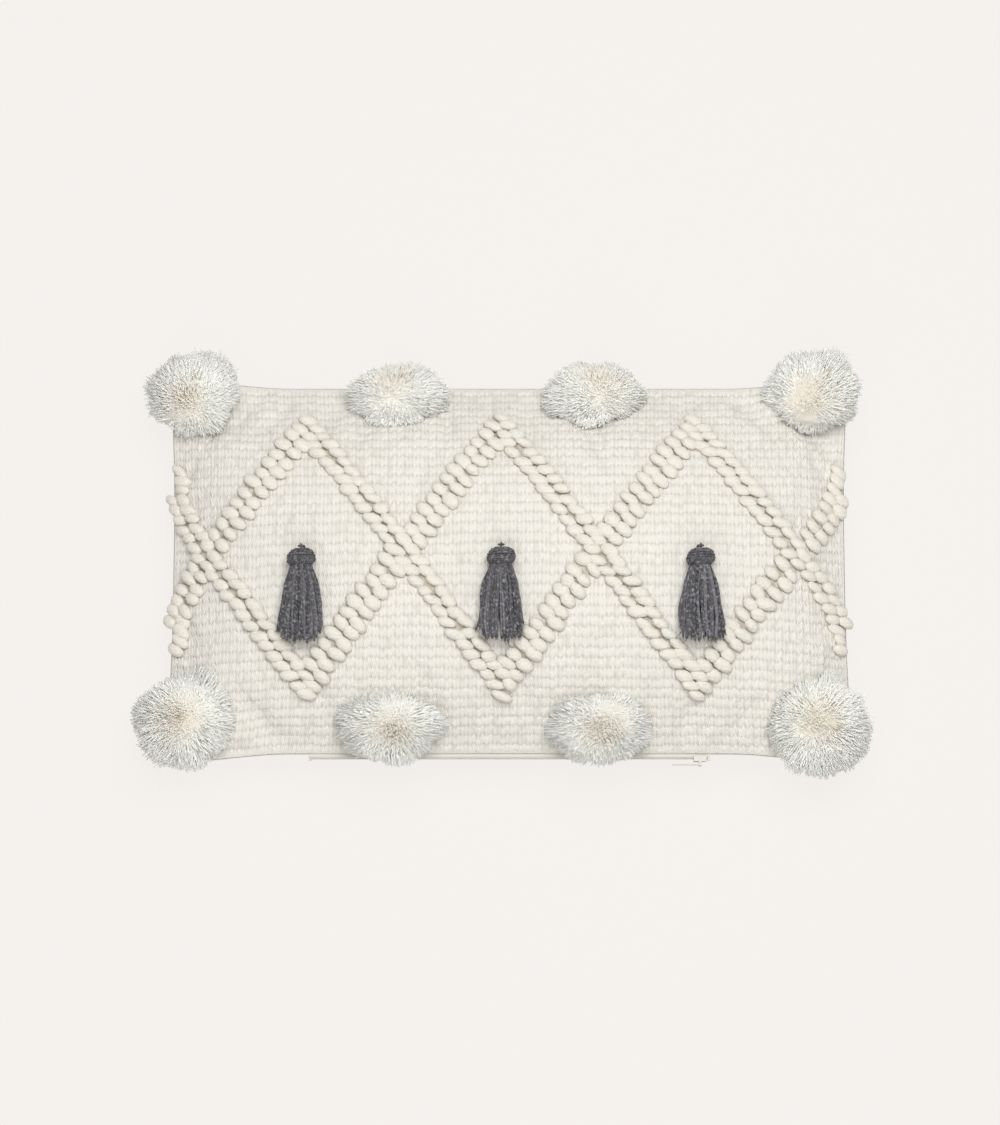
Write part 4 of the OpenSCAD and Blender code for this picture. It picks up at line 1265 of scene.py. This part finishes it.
# Head: a squat cap of yarn wound over a solid heart, drawn in flat underneath, with an eye on its top
def buildHead(number, place, rng):
    top, end, radius = tassels["headTop"], tassels["headEnd"], tassels["headRadius"]
    rise, bend = tassels["axisRise"], tassels["eyeRadius"]

    def capProfile(t):
        angle = np.interp(t, [0, 1], [-1.15, 1.45])
        middle = end + 0.0062
        high = np.where(angle > 0, top - 0.0012 - middle, middle - end - 0.0012)
        return middle + high * np.sin(angle), (radius - 0.0011) * np.cos(angle) ** 0.6
    wound = woundYarn(capProfile, 9.0, 0.0013, rng)
    t = np.linspace(0, 1, 18)
    along, reach = capProfile(t)
    core = np.stack([0 * t, along, 0 * t + rise], axis=1)[None]
    coreSet = tubes(core, np.maximum(reach - 0.0003, 0.0008)[None], 18)
    turn = np.linspace(0.2, 2 * math.pi - 0.2, 26)
    eye = np.stack([0 * turn, tassels["stitchY"] - bend * np.cos(turn), rise + bend * np.sin(turn)], axis=1)
    stem = [(0, top - 0.002, rise - 0.0004), (0, top - 0.0005, rise - 0.0004)]
    eyeLine = smoothLine(np.concatenate([stem, eye[::5], [(0, top - 0.002, rise + 0.0008)]]), 60)
    eyeSet = twoPly(eyeLine, 0.0008, 1600)
    sets = [wound[0], coreSet, eyeSet]
    yarnPiece(f"tasselHead{number}", sets,
              [wound[1], {"tone": np.full(len(coreSet[0]), 0.1)}, {"tone": np.full(len(eyeSet[0]), 0.5)}],
              place, f"tassel_{number}", f"tassel_head_{number}")


# The wrapping that gathers the skirt under the head
def buildWrap(number, place, rng):
    end, rise = tassels["headEnd"], tassels["axisRise"]

    def wrapProfile(t):
        return tassels["wrapEnd"] + 0.0012 + 0.0046 * t, 0.0070 + 0 * t
    neck = woundYarn(wrapProfile, 3.4, 0.0013, rng)
    neckCore = tubes(np.array([[(0, tassels["wrapEnd"] - 0.001, rise), (0, end + 0.001, rise)]]),
                     np.full((1, 2), 0.0064), 14)
    yarnPiece(f"tasselWrap{number}", [neck[0], neckCore], [neck[1], {"tone": np.full(len(neckCore[0]), 0.1)}],
              place, f"tassel_{number}", f"tassel_wrap_{number}")


# Skirt: cut strands that spread as they come down; those underneath are shorter
def buildSkirt(number, place, rng):
    rise, count = tassels["axisRise"], tassels["strands"]
    k = np.arange(count) + 0.5
    far = np.sqrt(0.30 + 0.70 * k / count)
    around = k * goldenTurn
    startX, startZ = far * np.cos(around), far * np.sin(around)
    t = np.linspace(0, 1, tassels["rings"])[None]
    low = np.clip(-startZ, 0, 1)[:, None]
    length = (tassels["skirtStart"] - tassels["skirtEnd"]) * (
        1 + rng.normal(0, 0.035, (count, 1)) - 0.32 * low - 0.05 * np.abs(startX[:, None]) ** 2)
    opened = np.interp(t, [0, 0.08, 0.25, 0.5, 0.75, 1], [0, 0.16, 0.52, 0.80, 0.97, 0.95])
    halfWidth = tassels["neckRadius"] + (tassels["halfWidth"] - tassels["neckRadius"]) * opened
    halfThick = tassels["neckRadius"] + (tassels["halfThick"] - tassels["neckRadius"]) * t
    # each strand goes a little to one side as it comes down
    pick = np.round(around * 2.2).astype(int) % tassels["shifts"]
    sideShift = rng.normal(0, 0.0018, tassels["shifts"])[pick][:, None]
    wave = rng.normal(0, 0.0012, (count, 1)) * np.sin(
        t * rng.uniform(4, 9, (count, 1)) + rng.random((count, 1)) * 6.28) * t
    px = (startX[:, None] * halfWidth + wave + (sideShift + rng.normal(0, 0.0009, (count, 1))) * t ** 1.5
          + tassels["lean"][number - 1] * t ** 1.5)
    pz = rise + startZ[:, None] * halfThick + rng.normal(0, 0.0006, (count, 1)) * t
    pz = pz - tassels["lowDrop"] * low * np.sin(np.pi * np.clip(t * 1.1, 0, 1))
    paths = np.stack([px, tassels["skirtStart"] - length * t, pz], axis=-1)
    radii = tassels["strandRadius"] * np.interp(t, [0, 0.06, 0.95, 1], [0.8, 1, 1, 0.75]) * (
        1 + rng.normal(0, 0.08, (count, 1)))
    turn = t * length * 900 + rng.random((count, 1)) * 6
    skirt = tubes(paths, radii, tassels["sides"], 0.22, turn)
    shade = rng.random(count) ** 1.6
    tone = np.repeat(shade, tassels["rings"] * tassels["sides"])
    # loose fibres at the cut ends
    frays = tassels["frays"]
    pick = rng.integers(0, count, frays)
    lead = unitRows(paths[pick, -1] - paths[pick, -2])
    lead = unitRows(lead + rng.normal(0, 0.35, lead.shape))
    fray = paths[pick, -1][:, None] + lead[:, None] * np.linspace(-0.1, 1, 3)[None, :, None] * rng.uniform(
        0.001, 0.0032, (frays, 1, 1))
    fraySet = tubes(fray, np.array([[0.0003, 0.00022, 0.0001]]) * np.ones((frays, 1)), 3)
    yarnPiece(f"tasselSkirt{number}", [skirt, fraySet],
              [{"tone": tone}, {"tone": np.repeat(rng.random(frays), 9)}], place,
              f"tassel_{number}", f"tassel_skirt_{number}")


# ---- build ----

tieDents = [(x, pompoms["tieY"][row], 0.0030, 0.022) for row in ("top", "bottom") for x in pompoms["tieX"]]
stitchDents = [(crossingX(i - 0.5), 0.0115, 0.0012, 0.008) for i in (1, 2, 3)]
dents += tieDents + stitchDents

buildStudio()
buildPanels()
buildSeam()
buildZip()
print("seam and zip made")
buildRidges()
buildPompoms()
for number in (1, 2, 3):
    buildTassel(number)
print("tassels made")
